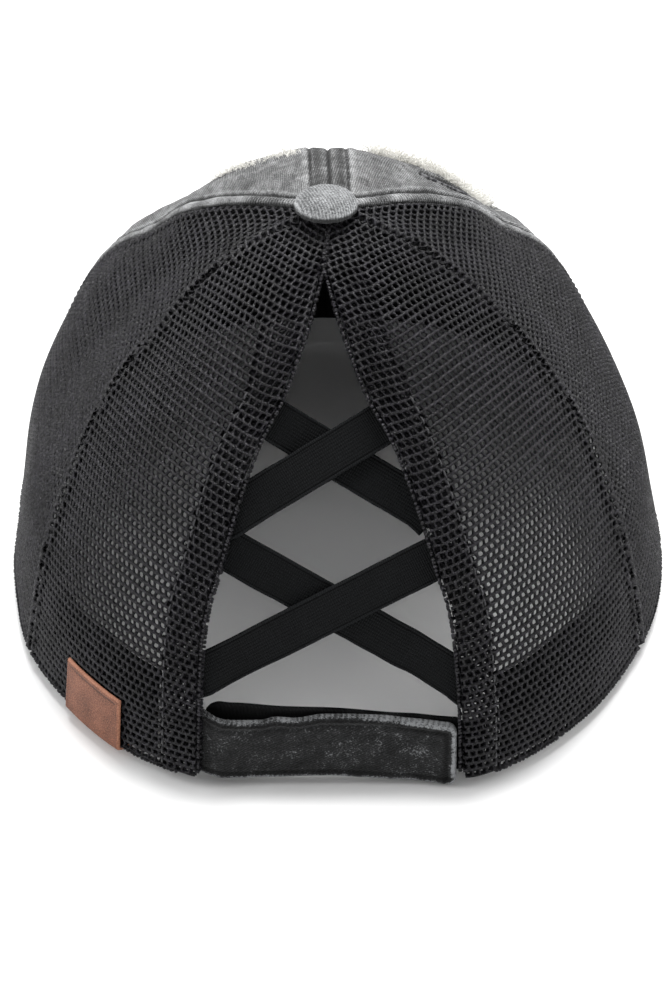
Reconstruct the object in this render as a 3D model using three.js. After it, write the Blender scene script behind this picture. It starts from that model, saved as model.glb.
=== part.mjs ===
// A ponytail baseball cap: two washed twill front panels, four mesh panels, a button, an arched brim,
// a sweatband, a long opening down the back with four crossing elastic bands, and a two-part strap closure.
// Millimetres. +Y points toward the brim, +X to the wearer's right, +Z up; the cap stands on its rim.
import * as THREE from "three";

// Crown, measured on the outside of the cloth from the upright line through the middle of the head.
const FRONT_REACH = 98;
const BACK_REACH = 93;
const CROWN_WIDTH = 170;
const CROWN_HEIGHT = 112;
const APEX_BACKWARD = 12.5;
const FRONT_LIFT = 11;
const TWILL_WALL = 1.8;
const MESH_WALL = 1.4;
const CLEARANCE = 0.3;

// Opening down the back and the folded hem along its edges.
const OPENING_WIDTH = 63.6;
const OPENING_LENGTH = 126;
const OPENING_ASIDE = -2;
const HEM_WIDTH = 11;
const HEM_WALL = 2.2;
const HEM_STEP = 0.7;

// Button on the apex, sewn on a little to the left.
const BUTTON_DIAMETER = 15.4;
const BUTTON_DOME = 3.4;
const BUTTON_EDGE = 1.5;
const BUTTON_ASIDE = -1.2;
const STEM_DIAMETER = 3;
const STEM_LENGTH = 5;
const STEM_CLEARANCE = 1.7;

// Brim, a stiff board covered with twill.
const BRIM_WIDTH = 157;
const BRIM_LENGTH = 66;
const BRIM_WALL = 2.8;
const BRIM_TIP_LIFT = 14;
const BRIM_HALF_TURN = 57;
const BRIM_CORNER = 4;
const BRIM_SIDE_FULLNESS = 0.94;
const BRIM_TIP_FULLNESS = 0.8;

// Sweatband inside the rim.
const SWEATBAND_HEIGHT = 25;
const SWEATBAND_WALL = 1.5;
const SWEATBAND_HEM = 0.6;
const SWEATBAND_END_GAP = 2;
const SWEATBAND_CLEARANCE = 0.6;

// Closure: the outer strap starts under the left hem, the inner strap under the right hem.
const OUTER_STRAP_WALL = 2.2;
const OUTER_STRAP_TOP = 19.6;
const OUTER_STRAP_RISE = 2.2;
const OUTER_STRAP_FREE_END = 28.6;
const OUTER_STRAP_REST = 20;
const OUTER_STRAP_ROUNDING = 2.5;
const INNER_STRAP_WALL = 1.4;
const INNER_STRAP_TOP = 19;
const INNER_STRAP_RISE = 3.2;
const INNER_STRAP_BOTTOM = 3;
const INNER_STRAP_FREE_END = -32.5;
const INNER_STRAP_DIP = { from: -18, depth: 3 };
const STRAP_TAB_TOP = 17.5;
const STRAP_TAB_REACH = 7;
const STRAP_BEND = 8;
const STRAP_BEND_SHARES = [0.55, 0.1];
const TAB_CLEARANCE = 0.5;

// Elastic bands across the opening.
const BAND_WIDTH = 10.4;
const BAND_WALL = 1;
const BAND_TUCK = 4.5;
const BAND_LAYER_GAP = 0.9;
const BAND_CLEARANCE = 0.8;

// Leather label folded round the rim of the left back panel.
const LABEL_START_TURN = 212;
const LABEL_WIDTH = 22;
const LABEL_HEIGHT = 14.2;
const LABEL_INNER_HEIGHT = 8;
const LABEL_WALL = 0.9;

// Steps of the curved faces.
const PANEL_COLUMNS = 8;
const MESH_COLUMNS = 7;
const HEM_COLUMNS = 4;
const PANEL_ROWS = 15;
const SWEATBAND_COLUMNS = 50;
const SWEATBAND_ROWS = 3;
const BRIM_COLUMNS = 28;
const BRIM_ROWS = 5;
const STRAP_COLUMNS = 14;
const TAB_COLUMNS = 3;
const BAND_COLUMNS = 8;
const BUTTON_SIDES = 24;
const BUTTON_ROWS = 6;
const LABEL_COLUMNS = 4;

// Searches on the crown: how often an interval is halved, and where each search looks.
const BISECTIONS = 28;
const BACK_TURNS = { from: 95, to: 265 };
const LOWER_WAYS = { from: 0, to: 0.5 };
const UPPER_WAYS = { from: 0.7, to: 1 };
const LENGTH_STEPS = 60;
const APEX_STEPS = 8;
const NORMAL_STEP = { turn: 1, way: 0.002 };

// The rim by its turn from the front, clockwise seen from above: how far it stands outside a plain oval
// on the right and on the left, and how much of the front's lift it has.
const RIM = [
  { turn: 0, right: 1, left: 1, lift: 1 },
  { turn: 30, right: 1.04, left: 1.04, lift: 0.82 },
  { turn: 60, right: 1.02, left: 1.02, lift: 0.4 },
  { turn: 90, right: 1.02, left: 0.97, lift: 0.36 },
  { turn: 120, right: 1.04, left: 1.02, lift: 0.25 },
  { turn: 141, right: 1.075, left: 1.07, lift: 0.24 },
  { turn: 160, right: 1.11, left: 1.1, lift: 0.21 },
  { turn: 170, right: 1.04, left: 1.035, lift: 0.21 },
  { turn: 180, right: 1.015, left: 1.015, lift: 0.24 },
];

// Outlines of the crown from the rim to the apex: the share of the height, and how much of the rim's
// reach is left there at the side, at the front corners, at the front and at the back.
const PROFILE = [
  { up: 0, side: 1, corner: 1, front: 1, back: 1 },
  { up: 0.12, side: 0.97, corner: 1, front: 1, back: 1 },
  { up: 0.26, side: 0.93, corner: 0.97, front: 0.97, back: 0.96 },
  { up: 0.42, side: 0.825, corner: 0.905, front: 0.87, back: 0.87 },
  { up: 0.58, side: 0.695, corner: 0.795, front: 0.74, back: 0.75 },
  { up: 0.73, side: 0.545, corner: 0.605, front: 0.6, back: 0.59 },
  { up: 0.86, side: 0.385, corner: 0.46, front: 0.475, back: 0.41 },
  { up: 0.95, side: 0.205, corner: 0.262, front: 0.28, back: 0.21 },
  { up: 1, side: 0, corner: 0, front: 0, back: 0 },
];

// Turns of the two seams on each side, by the share of the way from the rim to the apex.
const SEAMS = [
  { way: 0, front: 56, back: 121 },
  { way: 0.17, front: 54.5, back: 121 },
  { way: 0.27, front: 54, back: 118.5 },
  { way: 0.36, front: 53.5, back: 114.5 },
  { way: 0.46, front: 53.5, back: 112 },
  { way: 0.6, front: 57, back: 111.5 },
  { way: 0.75, front: 63, back: 111.5 },
  { way: 0.9, front: 68, back: 111 },
  { way: 1, front: 70, back: 109 },
];

// Width of the back opening by the share of its length, from the rim up.
const OPENING = [
  { way: 0, width: 1 },
  { way: 0.15, width: 0.98 },
  { way: 0.27, width: 0.94 },
  { way: 0.33, width: 0.895 },
  { way: 0.39, width: 0.815 },
  { way: 0.47, width: 0.72 },
  { way: 0.56, width: 0.6 },
  { way: 0.64, width: 0.47 },
  { way: 0.71, width: 0.32 },
  { way: 0.77, width: 0.23 },
  { way: 0.88, width: 0.1 },
  { way: 1, width: 0 },
];

// Elastic bands: where each meets the left and the right hem, by the share of the opening's length, and
// whether it lies one layer deeper there and between the hems.
const BANDS = [
  { name: "upper_front_band", left: 0.502, right: 0.666, leftLayer: 0, layer: 0, rightLayer: 0 },
  { name: "upper_back_band", left: 0.678, right: 0.508, leftLayer: 0, layer: 1, rightLayer: 1 },
  { name: "lower_back_band", left: 0.43, right: 0.19, leftLayer: 1, layer: 1, rightLayer: 0 },
  { name: "lower_front_band", left: 0.198, right: 0.414, leftLayer: 0, layer: 0, rightLayer: 0 },
];

const finish = (color, roughness) =>
  new THREE.MeshStandardMaterial({ color, roughness, metalness: 0, side: THREE.DoubleSide });
const washedTwill = finish(0x77777a, 0.95);
const darkTwill = finish(0x4c4c4f, 0.95);
const buttonTwill = finish(0x9a9a9c, 0.9);
const meshCloth = finish(0x3a3a40, 0.75);
const blackElastic = finish(0x18181b, 0.85);
const blackTape = finish(0x121214, 0.9);
const brownLeather = finish(0x96603f, 0.6);

const lerp = THREE.MathUtils.lerp;
const column = (table, key) => table.map((row) => row[key]);
const steps = (count) => Array.from({ length: count + 1 }, (unused, i) => i / count);

// A smooth curve through a table's values that never swings past them.
function smoothCurve(knots, values, flatEnds = false) {
  const last = knots.length - 1;
  const rise = (i) => (values[i + 1] - values[i]) / (knots[i + 1] - knots[i]);
  const slopes = values.map((unused, i) => {
    if (i === 0) return flatEnds ? 0 : rise(0);
    if (i === last) return flatEnds ? 0 : rise(last - 1);
    const before = rise(i - 1);
    const after = rise(i);
    return before * after > 0 ? (2 * before * after) / (before + after) : 0;
  });
  return (at) => {
    let i = 0;
    while (i < last - 1 && at > knots[i + 1]) i += 1;
    const width = knots[i + 1] - knots[i];
    const s = THREE.MathUtils.clamp((at - knots[i]) / width, 0, 1);
    const blend = s * s * (3 - 2 * s);
    const bend = s * (1 - s) * width;
    return lerp(values[i], values[i + 1], blend) + bend * ((1 - s) * slopes[i] - s * slopes[i + 1]);
  };
}

const rimTurns = column(RIM, "turn");
const rimRight = smoothCurve(rimTurns, column(RIM, "right"), true);
const rimLeft = smoothCurve(rimTurns, column(RIM, "left"), true);
const rimLift = smoothCurve(rimTurns, column(RIM, "lift"), true);
const seamWays = column(SEAMS, "way");
const frontSeam = smoothCurve(seamWays, column(SEAMS, "front"));
const backSeam = smoothCurve(seamWays, column(SEAMS, "back"));
const openingShare = smoothCurve(column(OPENING, "way"), column(OPENING, "width"));

// One outline of the crown, as height and reach by the way from the rim (0) to the apex (1).
function outline(key) {
  const ups = column(PROFILE, "up");
  const outs = column(PROFILE, key);
  const ways = [0];
  for (let i = 1; i < ups.length; i += 1) {
    ways.push(ways[i - 1] + Math.hypot(ups[i] - ups[i - 1], outs[i] - outs[i - 1]));
  }
  const shares = ways.map((way) => way / ways[ways.length - 1]);
  return { up: smoothCurve(shares, ups), out: smoothCurve(shares, outs) };
}
const sideOutline = outline("side");
const cornerOutline = outline("corner");
const frontOutline = outline("front");
const backOutline = outline("back");

function rimPoint(turn) {
  const angle = THREE.MathUtils.degToRad(turn);
  const fromFront = Math.abs(THREE.MathUtils.euclideanModulo(turn + 180, 360) - 180);
  const halfWidth = CROWN_WIDTH / 2;
  const reach = fromFront < 90 ? FRONT_REACH : BACK_REACH;
  const oval = (reach * halfWidth) / Math.hypot(halfWidth * Math.cos(angle), reach * Math.sin(angle));
  const radius = oval * (Math.sin(angle) > 0 ? rimRight(fromFront) : rimLeft(fromFront));
  return new THREE.Vector3(
    radius * Math.sin(angle),
    radius * Math.cos(angle),
    FRONT_LIFT * rimLift(fromFront),
  );
}

// A point on the outside of the crown. Its outline turns from the side's to the front's through the
// front corner's, and from the side's straight to the back's.
function crownPoint(turn, way) {
  const rim = rimPoint(turn);
  const angle = THREE.MathUtils.degToRad(turn);
  const ahead = Math.cos(angle) > 0;
  const corner = ahead ? Math.sin(2 * angle) ** 2 : 0;
  const end = ahead ? frontOutline : backOutline;
  const blend = (key) => {
    const plain = lerp(sideOutline[key](way), end[key](way), Math.cos(angle) ** 2);
    return lerp(plain, cornerOutline[key](way), corner);
  };
  const out = blend("out");
  return new THREE.Vector3(
    out * rim.x,
    lerp(-APEX_BACKWARD, rim.y, out),
    lerp(rim.z, CROWN_HEIGHT, blend("up")),
  );
}

function crownNormal(turn, way) {
  const along = crownPoint(turn + NORMAL_STEP.turn, way).sub(crownPoint(turn - NORMAL_STEP.turn, way));
  const above = crownPoint(turn, Math.min(way + NORMAL_STEP.way, 1));
  const below = crownPoint(turn, Math.max(way - NORMAL_STEP.way, 0));
  return above.sub(below).cross(along).normalize();
}

// A point in the cloth, a depth inward from the outside of the crown.
const clothPoint = (turn, way, depth) =>
  crownPoint(turn, way).addScaledVector(crownNormal(turn, way), -depth);

// The place in a range where a function that climbs or falls all the way reaches a value.
function solve(range, value, measure) {
  const climbs = measure(range.to) > measure(range.from);
  let { from, to } = range;
  for (let i = 0; i < BISECTIONS; i += 1) {
    const middle = (from + to) / 2;
    if (measure(middle) < value === climbs) from = middle;
    else to = middle;
  }
  return (from + to) / 2;
}

const backTurnAt = (x, way) => solve(BACK_TURNS, x, (turn) => crownPoint(turn, way).x);
const wayAtHeight = (turn, height) =>
  solve(LOWER_WAYS, height, (way) => crownPoint(turn, way).z - rimPoint(turn).z);

// A point by its height over the rim; below the rim it hangs straight down.
function heightPoint(turn, height, depth) {
  const point = clothPoint(turn, wayAtHeight(turn, Math.max(height, 0)), depth);
  point.z += Math.min(height, 0);
  return point;
}

// Length of the crown's back along the cloth, which places the opening.
function backLength() {
  const points = steps(LENGTH_STEPS).map((way) => crownPoint(180, way));
  return points.slice(1).reduce((sum, point, i) => sum + point.distanceTo(points[i]), 0);
}
const openingEnd = OPENING_LENGTH / backLength();
const stemHole = STEM_DIAMETER / 2 + STEM_CLEARANCE;
const apexWay = solve(UPPER_WAYS, stemHole, (way) => crownPoint(90, way).x);

// The cloth edge of the opening on one side (+1 right, -1 left), as a distance across the cap.
function openingEdge(way, side) {
  const aside = OPENING_ASIDE * Math.min(1, (1 - way) / (1 - openingEnd));
  const half = way < openingEnd ? (OPENING_WIDTH / 2) * openingShare(way / openingEnd) : 0;
  return aside + side * (half + CLEARANCE / 2);
}

// Turns of the edge of the opening, and of the step where the hem's thickness begins. The hem narrows
// toward the apex with the panel.
function hemTurns(way, side) {
  const edge = openingEdge(way, side);
  const seam = side > 0 ? backSeam(way) : 360 - backSeam(way);
  const room = Math.abs(crownPoint(seam, way).x - edge);
  const hem = Math.min(HEM_WIDTH, room / 2);
  const step = Math.min(HEM_STEP, hem / 4);
  return [edge, edge + side * (hem - step), edge + side * hem].map((x) => backTurnAt(x, way));
}

// A closed wall from its two faces. Columns run clockwise seen from above and rows run up the outside.
function closedWall(columns, rows, outside, inside) {
  const positions = [];
  for (const face of [outside, inside]) {
    for (let i = 0; i < columns; i += 1) {
      for (let j = 0; j < rows; j += 1) positions.push(...face(i, j).toArray());
    }
  }
  const outer = (i, j) => i * rows + j;
  const inner = (i, j) => (columns + i) * rows + j;
  const faces = [];
  const quad = (a, b, c, d) => faces.push(a, b, c, a, c, d);
  for (let i = 0; i < columns - 1; i += 1) {
    for (let j = 0; j < rows - 1; j += 1) {
      quad(outer(i, j), outer(i, j + 1), outer(i + 1, j + 1), outer(i + 1, j));
      quad(inner(i, j), inner(i + 1, j), inner(i + 1, j + 1), inner(i, j + 1));
    }
    quad(outer(i, 0), outer(i + 1, 0), inner(i + 1, 0), inner(i, 0));
    quad(outer(i + 1, rows - 1), outer(i, rows - 1), inner(i, rows - 1), inner(i + 1, rows - 1));
  }
  const end = columns - 1;
  for (let j = 0; j < rows - 1; j += 1) {
    quad(inner(0, j), inner(0, j + 1), outer(0, j + 1), outer(0, j));
    quad(outer(end, j), outer(end, j + 1), inner(end, j + 1), inner(end, j));
  }
  const geometry = new THREE.BufferGeometry();
  geometry.setAttribute("position", new THREE.Float32BufferAttribute(positions, 3));
  geometry.setIndex(faces);
  geometry.computeVertexNormals();
  return geometry;
}

const piece = (name, geometry, material) => {
  const mesh = new THREE.Mesh(geometry, material);
  mesh.name = name;
  return mesh;
};

// A crown panel from the turns of its columns at each way up, and its thickness by column.
function panel(name, material, turnsAt, wallAt) {
  const ways = steps(PANEL_ROWS).map((share) => share * apexWay);
  const turns = ways.map(turnsAt);
  const face = (depthAt) => (i, j) => clothPoint(turns[j][i], ways[j], depthAt(i));
  return piece(
    name,
    closedWall(turns[0].length, ways.length, face(() => 0), face(wallAt)),
    material,
  );
}

// Half of the seam's clearance, as a turn at this place.
const seamTurn = (turn, way) => {
  const perDegree = crownPoint(turn, way).distanceTo(crownPoint(turn + 1, way));
  return CLEARANCE / 2 / perDegree;
};

const between = (start, end, way, count) => {
  const from = start + seamTurn(start, way);
  const to = end - seamTurn(end, way);
  return steps(count).map((share) => lerp(from, to, share));
};

function backPanel(side) {
  const turnsAt = (way) => {
    const [edge, inHem, border] = hemTurns(way, side);
    const seam = side > 0 ? backSeam(way) : 360 - backSeam(way);
    const start = seam + side * seamTurn(seam, way);
    const mesh = steps(MESH_COLUMNS).map((share) => lerp(start, border, share));
    const turns = [...mesh, ...steps(HEM_COLUMNS).map((share) => lerp(inHem, edge, share))];
    return side > 0 ? turns : turns.reverse();
  };
  const count = MESH_COLUMNS + 1 + HEM_COLUMNS + 1;
  const wallAt = (i) => {
    const fromSeam = side > 0 ? i : count - 1 - i;
    return fromSeam > MESH_COLUMNS ? HEM_WALL : MESH_WALL;
  };
  return panel(side > 0 ? "back_panel_right" : "back_panel_left", meshCloth, turnsAt, wallAt);
}

// A panel between two seams, each given as a turn by the way up.
function seamedPanel(name, material, start, end, wall) {
  const turnsAt = (way) => between(start(way), end(way), way, PANEL_COLUMNS);
  return panel(name, material, turnsAt, () => wall);
}

function crown() {
  const group = new THREE.Group();
  const frontSeamLeft = (way) => 360 - frontSeam(way);
  const backSeamLeft = (way) => 360 - backSeam(way);
  const middle = () => 0;
  const fullTurn = () => 360;
  group.add(
    seamedPanel("front_panel_right", washedTwill, middle, frontSeam, TWILL_WALL),
    seamedPanel("side_panel_right", meshCloth, frontSeam, backSeam, MESH_WALL),
    backPanel(1),
    backPanel(-1),
    seamedPanel("side_panel_left", meshCloth, backSeamLeft, frontSeamLeft, MESH_WALL),
    seamedPanel("front_panel_left", washedTwill, frontSeamLeft, fullTurn, TWILL_WALL),
  );
  return group;
}

// Highest point of the crown round the apex at a distance from it.
function crownTop(radius) {
  const heights = steps(APEX_STEPS).map((share) => {
    const turn = share * 360;
    const reach = (way) => {
      const point = crownPoint(turn, way);
      return Math.hypot(point.x, point.y + APEX_BACKWARD);
    };
    return crownPoint(turn, solve(UPPER_WAYS, radius, reach)).z;
  });
  return Math.max(...heights);
}

function button() {
  const radius = BUTTON_DIAMETER / 2;
  const seat = (r) => crownTop(r - Math.abs(BUTTON_ASIDE)) + CLEARANCE - CROWN_HEIGHT;
  const stem = STEM_DIAMETER / 2;
  const points = [new THREE.Vector2(0, -STEM_LENGTH), new THREE.Vector2(stem, -STEM_LENGTH)];
  for (const r of [stem, lerp(stem, radius, 0.5), radius]) points.push(new THREE.Vector2(r, seat(r)));
  for (const share of steps(BUTTON_ROWS)) {
    const angle = (share * Math.PI) / 2;
    const rise = seat(radius) + BUTTON_EDGE + BUTTON_DOME * Math.sin(angle);
    points.push(new THREE.Vector2(share === 1 ? 0 : radius * Math.cos(angle), rise));
  }
  const mesh = piece("button", new THREE.LatheGeometry(points, BUTTON_SIDES), buttonTwill);
  mesh.rotation.x = Math.PI / 2;
  mesh.position.set(BUTTON_ASIDE, -APEX_BACKWARD, CROWN_HEIGHT);
  return mesh;
}

// The brim's board: it hugs the crown's rim and its arch falls to the surface at both sides. A fullness
// below one squares its outline.
function brim() {
  const tip = FRONT_REACH + BRIM_LENGTH;
  const corner = rimPoint(BRIM_HALF_TURN);
  const point = (i, j, top) => {
    const share = (2 * i) / BRIM_COLUMNS - 1;
    const turn = share * BRIM_HALF_TURN;
    const rim = rimPoint(turn);
    const outward = crownNormal(turn, 0).setZ(0).normalize();
    const start = rim.clone().addScaledVector(outward, CLEARANCE);
    const sweep = (share * Math.PI) / 2;
    const edge = new THREE.Vector3(
      (BRIM_WIDTH / 2) * Math.sign(share) * Math.abs(Math.sin(sweep)) ** BRIM_SIDE_FULLNESS,
      lerp(corner.y + BRIM_CORNER, tip, Math.cos(sweep) ** BRIM_TIP_FULLNESS),
      BRIM_TIP_LIFT * Math.cos(sweep) ** 2,
    );
    const made = start.lerp(edge, j / BRIM_ROWS);
    made.z += top ? BRIM_WALL : 0;
    return made;
  };
  const bottom = (i, j) => point(i, j, false);
  const top = (i, j) => point(i, j, true);
  return piece("brim", closedWall(BRIM_COLUMNS + 1, BRIM_ROWS + 1, bottom, top), washedTwill);
}

const sweatbandDepth = TWILL_WALL + SWEATBAND_CLEARANCE;

function sweatband() {
  const room = HEM_WIDTH + SWEATBAND_END_GAP;
  const start = backTurnAt(openingEdge(0, -1) - room, 0) - 360;
  const end = backTurnAt(openingEdge(0, 1) + room, 0);
  const turns = steps(SWEATBAND_COLUMNS).map((share) => lerp(start, end, share));
  const heights = steps(SWEATBAND_ROWS).map((share) => lerp(SWEATBAND_HEM, SWEATBAND_HEIGHT, share));
  const face = (depth) => (i, j) => heightPoint(turns[i], heights[j], depth);
  const wall = closedWall(
    turns.length,
    heights.length,
    face(sweatbandDepth),
    face(sweatbandDepth + SWEATBAND_WALL),
  );
  return piece("sweatband", wall, blackTape);
}

// A strap that follows the back of the rim, from stations with a place across the cap, a depth, a
// bottom and a top over the surface the cap rests on. Its two long edges are cut level.
function strap(name, material, stations, wall) {
  const face = (extra) => (i, j) => {
    const { x, depth, bottom, top } = stations[i];
    const level = j ? top : bottom;
    const turn = backTurnAt(x, 0);
    return heightPoint(turn, level - rimPoint(turn).z, depth + extra).setZ(level);
  };
  return piece(name, closedWall(stations.length, 2, face(0), face(wall)), material);
}

// The outer strap rests on the surface along its free end, and climbs a little to the hem that carries it.
function outerStrap() {
  const free = OUTER_STRAP_FREE_END;
  const round = OUTER_STRAP_ROUNDING;
  const hemEdge = openingEdge(0, -1);
  const under = HEM_WALL + TAB_CLEARANCE;
  const restEnd = free - OUTER_STRAP_REST;
  const station = (x, depth = 0, cut = 0) => {
    const rise = OUTER_STRAP_RISE * Math.max(0, (restEnd - x) / (restEnd - hemEdge)) ** 2;
    return { x, depth, bottom: rise + cut, top: OUTER_STRAP_TOP + rise - cut };
  };
  const rounded = [90, 60, 30, 0].map((degrees) => {
    const angle = THREE.MathUtils.degToRad(degrees);
    return station(free - round * (1 - Math.sin(angle)), 0, round * (1 - Math.cos(angle)));
  });
  const middle = steps(STRAP_COLUMNS).map((share) =>
    station(lerp(free - round, hemEdge + STRAP_BEND, share)),
  );
  const bend = STRAP_BEND_SHARES.map((share) =>
    station(hemEdge + STRAP_BEND * share, under * (1 - share) ** 2),
  );
  const tab = steps(TAB_COLUMNS).map((share) => ({
    x: hemEdge - lerp(TAB_CLEARANCE, STRAP_TAB_REACH, share),
    depth: under,
    bottom: INNER_STRAP_BOTTOM,
    top: STRAP_TAB_TOP,
  }));
  const stations = [...rounded, ...middle.slice(1), ...bend, ...tab];
  return strap("outer_strap", darkTwill, stations, OUTER_STRAP_WALL);
}

// The inner strap lies close behind the outer one, and deeper where that bends under its hem.
function innerStrap() {
  const hemEdge = openingEdge(0, 1);
  const depth = Math.max(OUTER_STRAP_WALL, HEM_WALL) + TAB_CLEARANCE;
  const tab = steps(TAB_COLUMNS).map((share) => ({
    x: hemEdge + lerp(STRAP_TAB_REACH, TAB_CLEARANCE, share),
    depth,
    bottom: INNER_STRAP_BOTTOM,
    top: STRAP_TAB_TOP,
  }));
  const open = steps(STRAP_COLUMNS).map((share) => {
    const x = lerp(hemEdge - 1, INNER_STRAP_FREE_END, share);
    const dip = THREE.MathUtils.smoothstep(-x, -INNER_STRAP_DIP.from, -INNER_STRAP_FREE_END);
    return {
      x,
      depth: depth + INNER_STRAP_DIP.depth * dip,
      bottom: INNER_STRAP_BOTTOM,
      top: INNER_STRAP_TOP + INNER_STRAP_RISE * share,
    };
  });
  return strap("inner_strap", blackTape, [...tab, ...open], INNER_STRAP_WALL);
}

// A flat elastic band from hem to hem. Between the hems it runs straight, and its ends tuck under them.
function band({ name, left, right, leftLayer, layer, rightLayer }) {
  const place = (way, side) => ({ way: way * openingEnd, x: openingEdge(way * openingEnd, side) });
  const from = place(right, 1);
  const to = place(left, -1);
  const slope = (to.way - from.way) / (to.x - from.x);
  const deeper = BAND_WALL + BAND_LAYER_GAP;
  const under = HEM_WALL + BAND_CLEARANCE;
  const onHem = (x, layers) => {
    const way = from.way + slope * (x - from.x);
    return clothPoint(backTurnAt(x, way), way, under + layers * deeper);
  };
  const start = onHem(from.x, rightLayer);
  const finishPoint = onHem(to.x, leftLayer);
  const stations = [{ x: from.x + BAND_TUCK, centre: onHem(from.x + BAND_TUCK, rightLayer) }];
  for (const share of steps(BAND_COLUMNS)) {
    const x = lerp(from.x, to.x, share);
    const way = from.way + slope * (x - from.x);
    const ends = lerp(rightLayer, leftLayer, share);
    const inEnds = share === 0 || share === 1;
    const sink = inEnds ? 0 : (layer - ends) * deeper;
    const centre = start.clone().lerp(finishPoint, share);
    centre.addScaledVector(crownNormal(backTurnAt(x, way), way), -sink);
    stations.push({ x, centre });
  }
  stations.push({ x: to.x - BAND_TUCK, centre: onHem(to.x - BAND_TUCK, leftLayer) });
  const face = (depth) => (i, j) => {
    const { x, centre } = stations[i];
    const before = stations[Math.max(i - 1, 0)].centre;
    const after = stations[Math.min(i + 1, stations.length - 1)].centre;
    const way = from.way + slope * (x - from.x);
    const along = after.clone().sub(before).normalize();
    const up = crownNormal(backTurnAt(x, way), way).cross(along).negate().normalize();
    const out = along.clone().cross(up).negate();
    return centre
      .clone()
      .addScaledVector(up, (j - 0.5) * BAND_WIDTH)
      .addScaledVector(out, -depth);
  };
  return piece(name, closedWall(stations.length, 2, face(0), face(BAND_WALL)), blackElastic);
}

// The label is folded round the rim: up the outside of the panel, and up the inside of the sweatband.
function label() {
  const perDegree = rimPoint(LABEL_START_TURN).distanceTo(rimPoint(LABEL_START_TURN + 1));
  const turns = steps(LABEL_COLUMNS).map((share) => LABEL_START_TURN + (share * LABEL_WIDTH) / perDegree);
  const behind = sweatbandDepth + SWEATBAND_WALL + CLEARANCE;
  const section = [
    { depth: behind, height: LABEL_INNER_HEIGHT, outward: 0, down: 0 },
    { depth: behind, height: -CLEARANCE, outward: 0, down: 1 },
    { depth: -CLEARANCE, height: -CLEARANCE, outward: 1, down: 1 },
    { depth: -CLEARANCE, height: LABEL_HEIGHT / 2, outward: 1, down: 0 },
    { depth: -CLEARANCE, height: LABEL_HEIGHT, outward: 1, down: 0 },
  ];
  const near = (i, j) => heightPoint(turns[i], section[j].height, section[j].depth);
  const far = (i, j) => {
    const { depth, height, outward, down } = section[j];
    const away = outward ? depth - LABEL_WALL : depth + LABEL_WALL;
    return heightPoint(turns[i], height - down * LABEL_WALL, away);
  };
  return piece("label", closedWall(turns.length, section.length, far, near), brownLeather);
}

const cap = new THREE.Group();
const closure = new THREE.Group();
closure.add(outerStrap(), innerStrap());
const elastics = new THREE.Group();
elastics.add(...BANDS.map(band));
cap.add(crown(), button(), brim(), sweatband(), closure, elastics, label());

// The origin is the middle of the cap's box, on the surface that the cap rests on.
const box = new THREE.Box3().setFromObject(cap, true);
const centre = box.getCenter(new THREE.Vector3());
cap.position.set(-centre.x, -centre.y, -box.min.z);

export default cap;
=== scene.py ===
# The looks of a ponytail baseball cap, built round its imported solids. Sizes are millimetres in the crown's
# own coordinates: Z is the upright line through the middle of the head, with the surface at zero, +Y points
# toward the brim and +X to the wearer's right. Turns are degrees clockwise from the front, seen from above,
# and the way up the crown runs from 0 at the rim to 1 at the apex.
import math

import bpy
import numpy as np
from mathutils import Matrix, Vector


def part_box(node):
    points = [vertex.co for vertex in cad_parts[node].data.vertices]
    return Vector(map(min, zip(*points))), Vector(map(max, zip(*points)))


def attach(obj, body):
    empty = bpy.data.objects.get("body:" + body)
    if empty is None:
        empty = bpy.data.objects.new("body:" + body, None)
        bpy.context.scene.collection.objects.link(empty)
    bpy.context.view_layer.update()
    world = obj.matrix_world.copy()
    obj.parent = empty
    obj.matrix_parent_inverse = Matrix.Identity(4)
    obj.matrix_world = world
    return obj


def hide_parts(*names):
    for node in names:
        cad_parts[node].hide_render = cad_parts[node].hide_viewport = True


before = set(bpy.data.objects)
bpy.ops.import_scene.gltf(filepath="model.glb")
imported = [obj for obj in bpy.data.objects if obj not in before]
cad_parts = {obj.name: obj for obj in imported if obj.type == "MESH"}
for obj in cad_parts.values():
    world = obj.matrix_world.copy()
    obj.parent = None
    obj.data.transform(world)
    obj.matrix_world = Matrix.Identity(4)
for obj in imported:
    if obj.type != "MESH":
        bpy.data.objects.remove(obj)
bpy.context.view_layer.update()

# Crown, as in the solids.
FRONT_REACH = 98
BACK_REACH = 93
CROWN_WIDTH = 170
CROWN_HEIGHT = 112
APEX_BACKWARD = 12.5
FRONT_LIFT = 11
RIM = {
    "turn": (0, 30, 60, 90, 120, 141, 160, 170, 180),
    "right": (1, 1.04, 1.02, 1.02, 1.04, 1.075, 1.11, 1.04, 1.015),
    "left": (1, 1.04, 1.02, 0.97, 1.02, 1.07, 1.1, 1.035, 1.015),
    "lift": (1, 0.82, 0.4, 0.36, 0.25, 0.24, 0.21, 0.21, 0.24),
}
PROFILE = {
    "up": (0, 0.12, 0.26, 0.42, 0.58, 0.73, 0.86, 0.95, 1),
    "side": (1, 0.97, 0.93, 0.825, 0.695, 0.545, 0.385, 0.205, 0),
    "corner": (1, 1, 0.97, 0.905, 0.795, 0.605, 0.46, 0.262, 0),
    "front": (1, 1, 0.97, 0.87, 0.74, 0.6, 0.475, 0.28, 0),
    "back": (1, 1, 0.96, 0.87, 0.75, 0.59, 0.41, 0.21, 0),
}
SEAMS = {
    "way": (0, 0.17, 0.27, 0.36, 0.46, 0.6, 0.75, 0.9, 1),
    "front": (56, 54.5, 54, 53.5, 53.5, 57, 63, 68, 70),
    "back": (121, 121, 118.5, 114.5, 112, 111.5, 111.5, 111, 109),
}
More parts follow.
